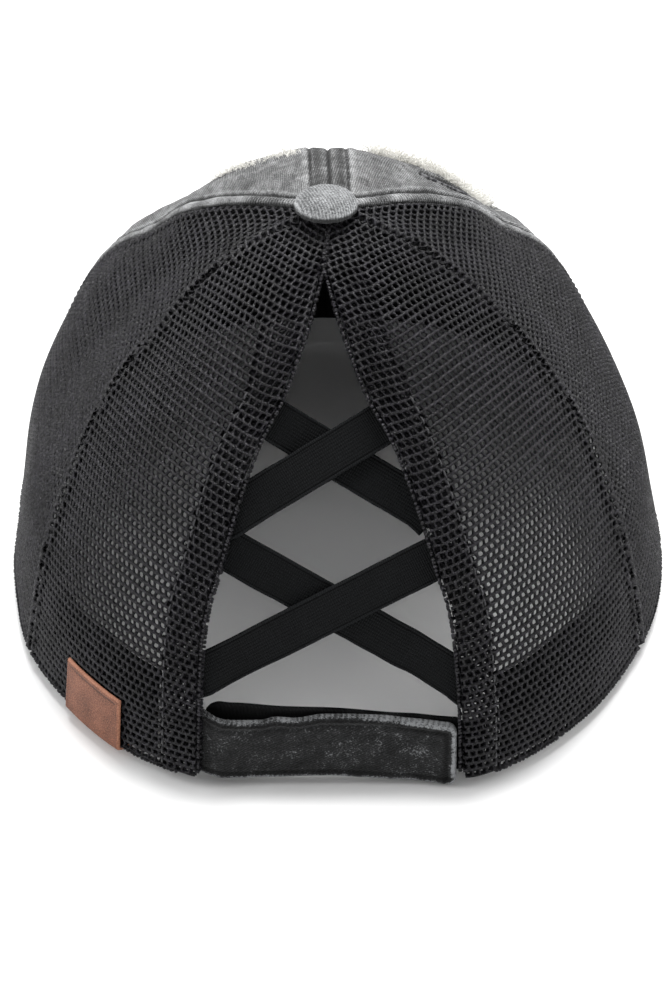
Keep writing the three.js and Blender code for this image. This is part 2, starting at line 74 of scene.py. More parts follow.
OPENING = {
    "way": (0, 0.15, 0.27, 0.33, 0.39, 0.47, 0.56, 0.64, 0.71, 0.77, 0.88, 1),
    "width": (1, 0.98, 0.94, 0.895, 0.815, 0.72, 0.6, 0.47, 0.32, 0.23, 0.1, 0),
}
OPENING_WIDTH = 63.6
OPENING_LENGTH = 126
OPENING_ASIDE = -2
APEX_HOLE = 3.2
LIE = 0.22
LIE_LENGTH = 38
BISECTIONS = 26

# Net of the side and back panels. The flat map runs over a number of ways up, degrees to each side of the
# panel's middle line and millimetres to each side of it. A cell has eight corners, given in half cells.
NET_PITCH = 1.9
NET_ROW = 1.95
NET_HOLE = 0.52
NET_DEPTHS = {"rib": 0.0, "bar": 0.3, "hole": 0.75, "bar_back": 1.0, "rib_back": 1.15}
NET_SKEW = 0.3
NET_SQUARENESS = 0.17
NET_JITTER = 0.05
NET_SIZE_SPREAD = 0.06
NET_BORDER = 0.25
NET_ROOM = 0.1
NET_REACH = 36
NET_EXTRA_ROWS = (4, 3)
NET_LOWEST = 0.2
NET_EDGE_HOLE = 0.25
NET_EDGE_FADE = (0.4, 1.4)
MAP_WAYS = 160
MAP_TURN = 50
MAP_REACH = 65
MAP_PER_MM = 2
MAP_BEND = 0.15
MAP_SINE = 0.97
MAP_ROUNDS = 6
CELL_TURNS = (225, 270, 315, 0, 45, 90, 135, 180)
CELL_X = (-1, 0, 1, 1, 1, 0, -1, -1)
CELL_Y = (-1, -1, -1, 0, 1, 1, 1, 0)
KEY_SHIFT = 500
KEY_STEP = 10000
LEAST_MM = 0.02
SEAM_BORDER = (0.12, 0.12)
HEM_WIDTH = 11
HEM_DEPTH = 1.15
HEM_SHIFT = (0.9, 0.7)
HEM_STITCH_IN = 9.5

# Loops of thread round the folded edges of the net: how many points, how far out each reaches and within
# what range, how it leans, how far in it starts, its middle depth, half its depth and its thickness.
EDGE_LOOP_PITCH = 1.0
EDGE_LOOP_RADIUS = 0.42
EDGE_LOOP_OVER = 0.35
HEM_LOOP = {
    "points": 9, "reach": 0.4, "range": (0.5, 1.4), "lean": 0.3, "inset": 0.5, "middle": 1.1,
    "half": 0.85, "thickness": (0.85, 1.2),
}
RIM_LOOP = {
    "points": 8, "reach": 0.45, "range": (0.6, 1.2), "lean": 0.25, "inset": 0.45, "middle": 0.85,
    "half": 0.65, "thickness": (0.85, 1.15),
}
HEM_LOOP_START = 0.012
RIM_LOOP_ENDS = (0.6, 0.3)
LOOP_SIDES = 6

# Thread stitches: how thick one is along its length, how deep it lies, and its rows. Tape behind the seams.
STITCH_SWELL = (0.25, 0.85, 1, 1, 0.85, 0.25)
STITCH_SINK = 0.15
STITCH_SIDES = 6
PANEL_STITCH = {"depth": 0.3, "length": 2.2, "pitch": 2.9, "radius": 0.26}
HEM_STITCH = {"depth": 0.15, "length": 2.0, "pitch": 2.7, "radius": 0.24}
TAPE_HALF = 2.9
TAPE_DEPTH = 1.35
TAPE_WALL = 0.5
TAPE_STEP = 2.0

# Twill of the front panels.
TWILL_WALL = 1.8
TWILL_ROWS = 150
MIDDLE_COLUMNS = 60
TOPSTITCH_IN = 4.7
BORDER_STITCH_IN = 3.2
BORDER_IN = 1.45
BORDER_HALF = (1.35, 0.6)
BORDER_RIB = 0.78
BORDER_SIDES = 12

# Raised and sunk lines along the edges, with their rubbing and painted shade: the raised lines are rubbed
# light and the sunk ones are darkened with painted shade. Each row is a height, a distance from the edge and
# a width.
SEAM_RELIEF = ((0.6, 1.7, 1.1), (-0.9, 0, 0.65))
HEM_RELIEF = ((-0.4, HEM_STITCH_IN, 0.7), (0.15, HEM_STITCH_IN - 2, 1.4))
CENTRE_RELIEF = ((-0.5, 0, 0.45), (-0.35, TOPSTITCH_IN, 0.4), (0.22, TOPSTITCH_IN + 1.3, 0.9))
CENTRE_WEAR_AND_SHADE = ((-1.1, 0, 0.6), (-1.2, TOPSTITCH_IN, 0.4), (0.4, TOPSTITCH_IN + 1.2, 0.8))
SIDE_RELIEF = ((-0.4, BORDER_STITCH_IN, 0.5), (0.35, BORDER_STITCH_IN + 1.5, 0.9))
SIDE_WEAR_AND_SHADE = ((-1.2, BORDER_STITCH_IN, 0.55), (0.35, BORDER_STITCH_IN + 1.5, 0.8))
STRAP_TOP_RELIEF = ((0.25, 1.1, 0.7), (-0.4, 2.3, 0.4))
STRAP_BOTTOM_RELIEF = ((0.15, 1.0, 0.6), (-0.25, 2.2, 0.4))

# Button on the apex.
BUTTON_DIAMETER = 15.4
BUTTON_HALF_UP = 3.5
BUTTON_HALF_DOWN = 1.5
BUTTON_ANGLES = (-62, 88.5)
BUTTON_RINGS = 64
BUTTON_SIDES = 200
BUTTON_FULLNESS = 0.52
BUTTON_PLEATS = 15
BUTTON_PLEAT_HEIGHT = 0.16
BUTTON_SLANT = 19
BUTTON_LEAN = 3
BUTTON_RIB = 0.74
BUTTON_RIB_HEIGHT = 0.04
BUTTON_SINK = 0.12
BUTTON_ASIDE = -1.2

# Brim.
BRIM_WIDTH = 157
BRIM_LENGTH = 66
BRIM_WALL = 2.8
BRIM_TIP_LIFT = 14
BRIM_HALF_TURN = 57
BRIM_CORNER = 4
BRIM_SIDE_FULLNESS = 0.94
BRIM_TIP_FULLNESS = 0.8
BRIM_STITCH_ROWS = 6
BRIM_STITCH_PITCH = 8
BRIM_STITCH_START = 3
BRIM_EDGE = 1.6

# Straps and bands.
STRAP_WALL = 2.2
STRAP_FREE_END = 28.6
STRAP_ROUNDING = 2.5
STRAP_TAB_DEPTH = 2.7
STRAP_BEND = 8
STRAP_ROPE = 1.3
STRAP_EDGE_RADIUS = 0.9
STRAP_TAB_REACH = 7
STRAP_EDGE = {
    "across": (-34, -31, -28.5, -21.6, -18.1, -14.7, -10.2, -3.2, 4, 11, 19, 28.6),
    "top": (20.2, 20, 19.6, 18.6, 18.4, 19.3, 19, 19.9, 19.8, 19.6, 18.6, 18.4),
    "bottom": (2.0, 2.2, 2.4, 1.7, 1.6, 1.7, 1.9, 2.0, 1.6, 1.1, 0.6, 0.1),
}
INNER_TOP = {
    "across": (-33.5, -31, -27.5, -24, -16, -2, 14, 22, 34),
    "top": (18.8, 20.4, 21.5, 21.5, 20.9, 20.2, 18.8, 18.4, 18.7),
    "dip": (3.2, 2.8, 2, 1.1, 0, 0, 0, 0, 0),
}
INNER_WALL = 1.4
INNER_BOTTOM = 3
INNER_COVERED_TOP = 17.5
BAND_WIDTH = 10.4
BAND_WALL = 1
BAND_TUCK = 4.5
BAND_DEEPER = 1.9
BAND_UNDER = 3
BAND_RIBS = 13
BAND_GROOVE = 0.83
BANDS = {
    "upper_front_band": {"left": 0.502, "right": 0.666, "left_layer": 0, "layer": 0, "right_layer": 0},
    "upper_back_band": {"left": 0.678, "right": 0.508, "left_layer": 0, "layer": 1, "right_layer": 1},
    "lower_back_band": {"left": 0.43, "right": 0.19, "left_layer": 1, "layer": 1, "right_layer": 0},
    "lower_front_band": {"left": 0.198, "right": 0.414, "left_layer": 0, "layer": 0, "right_layer": 0},
}

# Sweatband and label.
SWEATBAND_DEPTH = 2.4
SWEATBAND_WALL = 1.5
SWEATBAND_HEIGHT = 25
LABEL_START_TURN = 212
LABEL_WIDTH = 22
LABEL_HEIGHT = 14.2
LABEL_INNER_HEIGHT = 8
LABEL_WALL = 0.9
LABEL_GAP = 0.3
LABEL_TURN_HEIGHT = 0.4

# Camera at the photo's angle.
CAMERA_TARGET = (1.55, 37.31, -11.31)
CAMERA_DISTANCE = 950
CAMERA_ELEVATION = 35.88
CAMERA_AZIMUTH = 1.05
CAMERA_LENS = 124.64
SENSOR = 36
FAR_CLIP = 20

# Lights, each with where it comes from and its power, and the floor, in metres.
SUNS = {"key": ((0.15, 1.0, 1.9), 4.3), "left": ((-1.7, 0.2, 1.0), 1.3), "right": ((1.7, 0.2, 1.0), 0.9)}
SUN_SPREAD = 40
WORLD_LIGHT = 0.55
FLOOR_HALF = 4.0
FLOOR_LEVEL = -0.0004
FLOOR_TONE = 0.93

SEED = 7


def smooth_curve(knots, values, flat_ends=False):
    """A smooth curve through a table's values that never swings past them."""
    knots = np.array(knots, float)
    values = np.array(values, float)
    rises = np.diff(values) / np.diff(knots)
    before, after = rises[:-1], rises[1:]
    product = before * after
    total = np.where(product > 0, before + after, 1)
    slopes = np.zeros(len(values))
    slopes[1:-1] = np.where(product > 0, 2 * product / total, 0)
    if not flat_ends:
        slopes[0], slopes[-1] = rises[0], rises[-1]

    def curve(at):
        i = np.searchsorted(knots[1:-1], at)
        width = knots[i + 1] - knots[i]
        s = np.clip((at - knots[i]) / width, 0, 1)
        bend = s * (1 - s) * width * ((1 - s) * slopes[i] - s * slopes[i + 1])
        return values[i] + (values[i + 1] - values[i]) * s * s * (3 - 2 * s) + bend

    return curve


def smooth_step(low, high, at):
    s = np.clip((at - low) / (high - low), 0, 1)
    return s * s * (3 - 2 * s)


def bump_at(centre, width, at):
    """A soft bump of height one round a place."""
    return np.exp(-((at - centre) / width) ** 2)


def bumps(table, at):
    """The sum of soft bumps from a table of heights, places and widths."""
    return sum(height * bump_at(place, width, at) for height, place, width in table)


def rounded(distance, radius):
    """How full a rounded edge stands by the distance from it: nought at the edge and one past the radius."""
    return np.sqrt(np.clip(1 - (1 - np.clip(distance / radius, 0, 1)) ** 2, 0, 1))


def unit(vectors):
    return vectors / np.linalg.norm(vectors, axis=-1, keepdims=True)


def lengths_along(points):
    """Length from the first point to each point along the second last axis."""
    steps = np.linalg.norm(np.diff(points, axis=-2), axis=-1)
    return np.concatenate([np.zeros(steps.shape[:-1] + (1,)), np.cumsum(steps, axis=-1)], axis=-1)


def ripple(points, scale, seed, waves=9):
    """Smooth seeded noise between about -1 and 1, with waves of one length in many directions."""
    rng = np.random.default_rng(seed)
    directions = unit(rng.normal(size=(waves, 3))) * (2 * np.pi / scale)
    phases = rng.uniform(0, 2 * np.pi, waves)
    return np.sin(points @ directions.T + phases).sum(axis=-1) / math.sqrt(waves)


rim_right = smooth_curve(RIM["turn"], RIM["right"], True)
rim_left = smooth_curve(RIM["turn"], RIM["left"], True)
rim_lift = smooth_curve(RIM["turn"], RIM["lift"], True)
front_seam = smooth_curve(SEAMS["way"], SEAMS["front"])
back_seam = smooth_curve(SEAMS["way"], SEAMS["back"])
opening_share = smooth_curve(OPENING["way"], OPENING["width"])


def outline(key):
    """One outline of the crown: its height and reach by the way up."""
    ups, outs = np.array(PROFILE["up"]), np.array(PROFILE[key])
    ways = lengths_along(np.stack([ups, outs], axis=-1))
    return {"up": smooth_curve(ways / ways[-1], ups), "out": smooth_curve(ways / ways[-1], outs)}


OUTLINES = {key: outline(key) for key in ("side", "corner", "front", "back")}


def rim_point(turn):
    angle = np.radians(turn)
    from_front = np.abs((turn + 180) % 360 - 180)
    half = CROWN_WIDTH / 2
    reach = np.where(from_front < 90, FRONT_REACH, BACK_REACH)
    oval = reach * half / np.hypot(half * np.cos(angle), reach * np.sin(angle))
    radius = oval * np.where(np.sin(angle) > 0, rim_right(from_front), rim_left(from_front))
    height = FRONT_LIFT * rim_lift(from_front)
    return np.stack([radius * np.sin(angle), radius * np.cos(angle), height], axis=-1)


def crown_point(turn, way):
    turn, way = np.broadcast_arrays(np.asarray(turn, float), np.asarray(way, float))
    rim = rim_point(turn)
    angle = np.radians(turn)
    ahead = np.cos(angle) > 0
    corner = np.where(ahead, np.sin(2 * angle) ** 2, 0)

    def blend(key):
        end = np.where(ahead, OUTLINES["front"][key](way), OUTLINES["back"][key](way))
        side = OUTLINES["side"][key](way)
        plain = side + (end - side) * np.cos(angle) ** 2
        return plain + (OUTLINES["corner"][key](way) - plain) * corner

    out, up = blend("out"), blend("up")
    y = -APEX_BACKWARD + (rim[..., 1] + APEX_BACKWARD) * out
    z = rim[..., 2] + (CROWN_HEIGHT - rim[..., 2]) * up
    return np.stack([out * rim[..., 0], y, z], axis=-1)


def crown_normal(turn, way):
    along = crown_point(turn + 1, way) - crown_point(turn - 1, way)
    above = crown_point(turn, np.minimum(way + 0.002, 1))
    below = crown_point(turn, np.maximum(way - 0.002, 0))
    return unit(np.cross(above - below, along))


def cloth_point(turn, way, depth):
    """A point a depth inward from the outside of the crown, where the cloth lies a little unevenly."""
    point = crown_point(turn, way)
    lie = LIE * ripple(point, LIE_LENGTH, SEED)
    return point - crown_normal(turn, way) * (np.asarray(depth) - lie)[..., None]


def bisect(low, high, above, shape):
    """The place between two limits where a test that starts true turns false, for a whole array at once."""
    low, high = np.full(shape, float(low)), np.full(shape, float(high))
    for _ in range(BISECTIONS):
        middle = (low + high) / 2
        go_on = above(middle)
        low, high = np.where(go_on, middle, low), np.where(go_on, high, middle)
    return (low + high) / 2


def back_turn_at(x, way):
    x, way = np.broadcast_arrays(np.asarray(x, float), np.asarray(way, float))
    return bisect(95, 265, lambda turn: crown_point(turn, way)[..., 0] > x, x.shape)


def way_at_height(turn, height):
    turn, height = np.broadcast_arrays(np.asarray(turn, float), np.asarray(height, float))
    base = rim_point(turn)[..., 2]
    return bisect(0, 0.6, lambda way: crown_point(turn, way)[..., 2] - base < height, turn.shape)


def height_point(turn, height, depth):
    """A point by its height over the rim; below the rim it hangs straight down."""
    point = cloth_point(turn, way_at_height(turn, np.maximum(height, 0)), depth)
    point[..., 2] += np.minimum(height, 0)
    return point


back_line = crown_point(180, np.linspace(0, 1, 61))
OPENING_END = OPENING_LENGTH / lengths_along(back_line)[-1]
APEX_WAY = float(bisect(0.7, 1, lambda way: crown_point(90, way)[..., 0] > APEX_HOLE, ()))


def opening_edge(way, side):
    """The cloth edge of the opening on one side, as a distance across the cap."""
    way = np.asarray(way, float)
    aside = OPENING_ASIDE * np.minimum(1, (1 - way) / (1 - OPENING_END))
    half = np.where(way < OPENING_END, OPENING_WIDTH / 2 * opening_share(way / OPENING_END), 0)
    return aside + side * (half + 0.15)


def opening_turn(way, side):
    return back_turn_at(opening_edge(way, side), way)


button_low, button_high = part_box("button")
ORIGIN = np.array([
    (button_low[0] + button_high[0]) * 500 - BUTTON_ASIDE,
    (button_low[1] + button_high[1]) * 500 + APEX_BACKWARD,
    0,
])


def to_frame(points):
    return (points + ORIGIN) / 1000


# Mesh making.
def grid_faces(rows, columns, start=0, closed=False):
    """Quads of a grid of points stored row by row; a closed grid joins its last column to its first."""
    i, j = np.meshgrid(np.arange(rows - 1), np.arange(columns if closed else columns - 1), indexing="ij")
    after = (j + 1) % columns
    quads = [i * columns + j, i * columns + after, (i + 1) * columns + after, (i + 1) * columns + j]
    return start + np.stack([q.ravel() for q in quads], axis=-1)


def store(mesh, name, kind, key, values):
    layer = mesh.attributes.new(name, kind, "POINT")
    layer.data.foreach_set(key, values.astype(np.float32).ravel())


def make_piece(name, points, faces, material, slot, replaces=(), cloth=None, wear_and_shade=None):
    """A mesh object from points in millimetres, which carries the cloth's own coordinates and a value for
    where it is rubbed light, painted lighter as a highlight or darkened with painted shade.
    """
    points = points.reshape(-1, 3)
    mesh = bpy.data.meshes.new(name)
    mesh.vertices.add(len(points))
    mesh.vertices.foreach_set("co", to_frame(points).astype(np.float32).ravel())
    sizes = np.concatenate([np.full(len(f), f.shape[1]) for f in faces])
    corners = np.concatenate([f.ravel() for f in faces])
    mesh.loops.add(len(corners))
    mesh.loops.foreach_set("vertex_index", corners.astype(np.int32))
    mesh.polygons.add(len(sizes))
    mesh.polygons.foreach_set("loop_start", (np.cumsum(sizes) - sizes).astype(np.int32))
    mesh.update(calc_edges=True)
    mesh.polygons.foreach_set("use_smooth", np.ones(len(sizes), bool))
    store(mesh, "cloth", "FLOAT_VECTOR", "vector", points if cloth is None else cloth)
    store(mesh, "wear_and_shade", "FLOAT", "value", np.zeros(len(points)) if wear_and_shade is None else wear_and_shade)
    mesh.materials.append(material)
    mesh.validate()
    piece = bpy.data.objects.new(name, mesh)
    bpy.context.collection.objects.link(piece)
    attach(piece, "root")
    if replaces:
        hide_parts(*replaces)
    return piece


def flat_cloth(*parts):
    """Cloth coordinates from three arrays that fit one grid."""
    return np.stack(np.broadcast_arrays(*parts), axis=-1).reshape(-1, 3)


def with_ends(values):
    """Values for a swept solid's points, with nought for the middle points of its two ends."""
    return np.concatenate([values, np.zeros((2,) + values.shape[1:])])


def closed_wall(outer, inner):
    """Points and faces of a wall between two grids of the same size."""
    rows, columns = outer.shape[:2]
    count = rows * columns
    points = np.concatenate([outer.reshape(-1, 3), inner.reshape(-1, 3)])
    index = np.arange(count).reshape(rows, columns)
    around = np.concatenate([index[0, :-1], index[:-1, -1], index[-1, :0:-1], index[:0:-1, 0]])
    after = np.roll(around, -1)
    front = grid_faces(rows, columns)
    rim = np.stack([after, around, around + count, after + count], axis=-1)
    return points, [front, front[:, ::-1] + count, rim]


def wall_piece(name, outer, inner, material, slot, node, cloth=None, wear_and_shade=None, inner_face_tone=None):
    """A piece from a wall between two grids, with the same cloth coordinates on both its faces."""
    points, faces = closed_wall(outer, inner)
    if cloth is not None:
        cloth = np.tile(cloth, (2, 1))
    if wear_and_shade is not None:
        wear_and_shade = np.stack([wear_and_shade, wear_and_shade if inner_face_tone is None else np.full(wear_and_shade.shape, inner_face_tone)])
    return make_piece(name, points, faces, material, slot, (node,), cloth, wear_and_shade)


def swept(sections):
    """Points and faces of a solid swept through closed sections, with a fan over each end."""
    stations, around = sections.shape[:2]
    count = stations * around
    ends = sections[[0, -1]].mean(axis=1)
    points = np.concatenate([sections.reshape(-1, 3), ends])
    ring = np.arange(around)
    after = (ring + 1) % around
    first = np.stack([after, ring, np.full(around, count)], axis=-1)
    last = np.stack([ring, after, np.full(around, count + 1)], axis=-1)
    last[:, :2] += count - around
    return points, [grid_faces(stations, around, closed=True), first, last]


def joined(parts):
    """One set of points and faces from several."""
    points, faces, start = [], [], 0
    for part_points, part_faces in parts:
        points.append(part_points)
        faces.extend(f + start for f in part_faces)
        start += len(part_points)
    return np.concatenate(points), faces


def tube(path, radius, sides=8, normal=None):
    """A round rod along a path. The radius may be one number or one for each point."""
    tangent = unit(np.gradient(path, axis=0))
    normal = np.array([0.0, 0.0, 1.0]) if normal is None else normal
    across = unit(np.cross(tangent, normal))
    up = np.cross(across, tangent)
    angle = np.linspace(0, 2 * np.pi, sides, endpoint=False)
    radius = np.broadcast_to(np.asarray(radius, float), len(path))[:, None, None]
    ring = np.cos(angle)[None, :, None] * across[:, None] + np.sin(angle)[None, :, None] * up[:, None]
    return swept(path[:, None] + ring * radius)


def stitches(path, normals, length, pitch, radius):
    """A row of thread stitches that lie along a path and dip into the cloth at both ends."""
    along = lengths_along(path)
    starts = np.arange(pitch / 2, along[-1] - length, pitch)
    share = np.linspace(0, 1, len(STITCH_SWELL))
    thick = np.array(STITCH_SWELL) * radius
    dip = (1 - thick / radius) * STITCH_SINK * 3 + STITCH_SINK
    parts = []
    for start in starts:
        at = start + share * length
        line = np.stack([np.interp(at, along, path[:, k]) for k in range(3)], axis=-1)
        normal = unit(np.stack([np.interp(at, along, normals[:, k]) for k in range(3)], axis=-1))
        line = line - normal * dip[:, None]
        parts.append(tube(line, thick, STITCH_SIDES, normal))
    return joined(parts)


# Materials. Each reads the cloth's own coordinates in millimetres and its wear_and_shade value, which is
# above zero where the cloth is rubbed light and where a highlight is painted, and below zero where shade is
# painted into its grooves and hollows.
def new_material(name, roughness, **settings):
    made = bpy.data.materials.new(name)
    made.use_nodes = True
    tree = made.node_tree
    shader = tree.nodes["Principled BSDF"]
    shader.inputs["Roughness"].default_value = roughness
    for socket, value in settings.items():
        shader.inputs[socket.replace("_", " ")].default_value = value
    return made, tree, shader


def node(tree, kind, inputs, **settings):
    made = tree.nodes.new(kind)
    for key, value in settings.items():
        setattr(made, key, value)
    for key, value in inputs.items():
        if isinstance(value, bpy.types.NodeSocket):
            tree.links.new(value, made.inputs[key])
        else:
            made.inputs[key].default_value = value
    return made


def maths(tree, operation, first, second=0.0):
    return node(tree, "ShaderNodeMath", {0: first, 1: second}, operation=operation).outputs[0]


def scaled(tree, value, factor, start):
    """A start plus a value times a factor."""
    inputs = {0: value, 1: factor, 2: start}
    return node(tree, "ShaderNodeMath", inputs, operation="MULTIPLY_ADD").outputs[0]


def attribute(tree, name, output):
    return node(tree, "ShaderNodeAttribute", {}, attribute_name=name).outputs[output]


def stretched(tree, scale, turn=0.0):
    """The cloth's coordinates, turned and scaled by one number or by three."""
    cloth = attribute(tree, "cloth", "Vector")
    scale = scale if isinstance(scale, tuple) else (scale, scale, scale)
    mapping = {"Vector": cloth, "Scale": scale, "Rotation": (0, 0, math.radians(turn))}
    return node(tree, "ShaderNodeMapping", mapping, vector_type="TEXTURE").outputs["Vector"]


def noise(tree, scale, detail=3.0, turn=0.0):
    """Noise between 0 and 1 with a middle of a half; scale is its grain in millimetres."""
    inputs = {"Vector": stretched(tree, scale, turn), "Scale": 1.0, "Detail": detail}
    return node(tree, "ShaderNodeTexNoise", inputs).outputs["Fac"]


def ribs(tree, pitch, turn, wander=0.0):
    """Parallel ribs between 0 and 1, a pitch apart, that run up the cloth at a turn of nought."""
    place = node(tree, "ShaderNodeSeparateXYZ", {0: stretched(tree, pitch, turn)}).outputs["X"]
    if wander:
        place = maths(tree, "ADD", place, maths(tree, "MULTIPLY", noise(tree, 6), wander))
    wave = maths(tree, "SINE", maths(tree, "MULTIPLY", place, 2 * math.pi))
    return scaled(tree, wave, 0.5, 0.5)


def weighted(tree, start, terms):
    """A start plus each value, taken from its middle of a half, times its weight."""
    total = start
    for value, weight in terms:
        centred = maths(tree, "SUBTRACT", value, 0.5)
        total = maths(tree, "ADD", maths(tree, "MULTIPLY", centred, weight), total)
    return total


def shade(tree, value, stops):
    """A colour from a table of places and colours."""
    ramp = node(tree, "ShaderNodeValToRGB", {"Fac": value})
    elements = ramp.color_ramp.elements
    elements[0].position, elements[1].position = stops[0][0], stops[-1][0]
    for place, colour in stops[1:-1]:
        elements.new(place)
    for element, (place, colour) in zip(elements, stops):
        element.color = (*colour, 1)
    return ramp.outputs["Color"]


def relief(tree, shader, height, distance, strength=1.0):
    inputs = {"Height": height, "Distance": distance / 1000, "Strength": strength}
    bump = node(tree, "ShaderNodeBump", inputs)
    tree.links.new(bump.outputs["Normal"], shader.inputs["Normal"])


def grey(level, warmth=0.0):
    return (level * (1 + warmth), level, level * (1 - warmth))


def dressed(parts, worn_and_shaded_by, patterns, tones, raised, depth):
    """A material whose colour comes from the cloth's wear_and_shade value and weighted patterns, and its
    relief from patterns. worn_and_shaded_by is a factor and a start, and tones is a table of places and
    colours."""
    made, tree, shader = parts
    start = scaled(tree, attribute(tree, "wear_and_shade", "Fac"), *worn_and_shaded_by)
    colour = shade(tree, weighted(tree, start, patterns), tones)
    tree.links.new(colour, shader.inputs["Base Color"])
    relief(tree, shader, weighted(tree, 0.5, raised), depth)
    return made


def twill(name, tones, pitch, slant, mottle=0.5, streaks=0.3, rib_shade=0.22, rib_relief=1.0, tint=-0.01):
    """Washed cotton twill: slanted ribs, uneven yarns and a mottled fade. Its tones are dark, light, worn."""
    parts = new_material(name, 0.93, Sheen_Weight=0.05, Sheen_Roughness=0.6, Specular_IOR_Level=0.15)
    tree = parts[1]
    rib = ribs(tree, pitch, slant, 0.25)
    yarn = ribs(tree, pitch * 0.8, 90 + slant, 0.6)
    cloud = noise(tree, 9, 4)
    blotch = noise(tree, (2.2, 2.8, 2.2), 4)
    streak = noise(tree, (0.5, 4, 0.5), 3, slant)
    fibre = noise(tree, (0.28, 0.5, 0.28), 2, slant)
    speck = noise(tree, 0.42, 2)
    patterns = [
        (cloud, mottle), (blotch, mottle), (streak, streaks), (rib, rib_shade), (yarn, 0.05), (fibre, 0.3),
        (speck, 1.1),
    ]
    levels = ((0.0, tones[0] * 0.35), (0.3, tones[0]), (0.62, tones[1]), (1.0, tones[2]))
    colours = [(place, grey(level, tint)) for place, level in levels]
    raised = [(rib, rib_relief), (yarn, 0.3), (fibre, 0.7), (speck, 0.8)]
    return dressed(parts, (0.45, 0.45), patterns, colours, raised, 0.22)


def net_material():
    parts = new_material("net", 0.32, Specular_IOR_Level=0.3)
    tree = parts[1]
    cloud = noise(tree, 14, 3)
    # The strand pattern is partly the yarn's own uneven tone and partly painted glints along the twisted
    # filaments.
    strand = noise(tree, (0.9, 0.3, 0.3), 1, 25)
    speck = noise(tree, 0.4, 2)
    patterns = [(cloud, 0.4), (strand, 1.1), (speck, 1.0)]
    tones = [(0.3, (0.0006, 0.0006, 0.0008)), (0.5, (0.0045, 0.0042, 0.0055)), (0.75, (0.030, 0.028, 0.036))]
    return dressed(parts, (0.4, 0.5), patterns, tones, [(strand, 1.0), (speck, 0.8)], 0.3)


def elastic_material():
    parts = new_material("elastic", 0.75, Specular_IOR_Level=0.12)
    tree = parts[1]
    weft = ribs(tree, 0.55, 90, 0.3)
    rib = ribs(tree, 0.8, 0)
    speck = noise(tree, (0.4, 0.8, 0.4), 3)
    cloud = noise(tree, 10, 3)
    patterns = [(weft, 0.25), (speck, 0.5), (cloud, 0.3)]
    tones = [(place, grey(level, -0.1)) for place, level in ((0.0, 0.001), (0.5, 0.0042), (1.0, 0.014))]
    return dressed(parts, (0.5, 0.45), patterns, tones, [(weft, 0.8), (speck, 0.5), (rib, 0.1)], 0.15)


def tape_material():
    parts = new_material("black_tape", 0.88, Specular_IOR_Level=0.12)
    tree = parts[1]
    weave = ribs(tree, 0.6, 45, 0.2)
    cross = ribs(tree, 0.6, -45, 0.2)
    speck = noise(tree, 0.5, 3)
    cloud = noise(tree, 12, 3)
    patterns = [(speck, 0.6), (cloud, 0.4), (weave, 0.15)]
    tones = [(place, grey(level, -0.05)) for place, level in ((0.0, 0.001), (0.5, 0.003), (1.0, 0.012))]
    return dressed(parts, (0.5, 0.45), patterns, tones, [(weave, 0.5), (cross, 0.5), (speck, 0.8)], 0.12)


def leather_material():
    parts = new_material("leather", 0.55, Specular_IOR_Level=0.3)
    tree = parts[1]
    inputs = {"Vector": stretched(tree, 0.55), "Scale": 1.0}
    grain = node(tree, "ShaderNodeTexVoronoi", inputs, feature="DISTANCE_TO_EDGE").outputs["Distance"]
    speck = noise(tree, 0.35, 3)
    cloud = noise(tree, 5, 3)
    patterns = [(speck, 1.1), (cloud, 0.4), (grain, 0.25)]
    tones = [(0.2, (0.060, 0.020, 0.010)), (0.45, (0.185, 0.068, 0.036)), (0.8, (0.40, 0.18, 0.11))]
    return dressed(parts, (0.4, 0.5), patterns, tones, [(grain, 1.2), (speck, 0.6)], 0.1)


def thread_material(name, low, high):
    """Spun thread with fine fluff."""
    made, tree, shader = new_material(name, 0.85, Sheen_Weight=0.3, Sheen_Roughness=0.5)
    fluff = noise(tree, 0.3, 3)
    value = weighted(tree, 0.5, [(fluff, 1.2), (noise(tree, 4, 2), 0.8)])
    tree.links.new(shade(tree, value, [(0.1, low), (0.9, high)]), shader.inputs["Base Color"])
    relief(tree, shader, fluff, 0.1)
    return made


NET = net_material()
ELASTIC = elastic_material()
TAPE = tape_material()
LEATHER = leather_material()
PANEL_TWILL = twill("washed_twill", (0.07, 0.23, 0.5), 0.62, 8, mottle=0.6)
BORDER_TWILL = twill(
    "border_twill", (0.06, 0.19, 0.42), 0.62, 8, mottle=0.4, streaks=0.2, rib_shade=0.0, rib_relief=0.0,
)
STRAP_TWILL = twill(
    "dark_twill", (0.008, 0.020, 0.24), 0.8, 28, streaks=0.0, rib_shade=0.0, rib_relief=0.15, tint=-0.03,
)
BUTTON_TWILL = twill(
    "button_twill", (0.11, 0.30, 0.62), BUTTON_RIB, BUTTON_SLANT, mottle=0.35, streaks=0.1, rib_shade=0.16,
    rib_relief=0.5, tint=-0.02,
)
CREAM = thread_material("cream_thread", (0.86, 0.84, 0.78), (0.97, 0.96, 0.92))
DARK_THREAD = thread_material("dark_thread", (0.030, 0.030, 0.033), (0.11, 0.11, 0.12))
SEWING_THREAD = thread_material("sewing_thread", (0.012, 0.012, 0.014), (0.05, 0.05, 0.055))


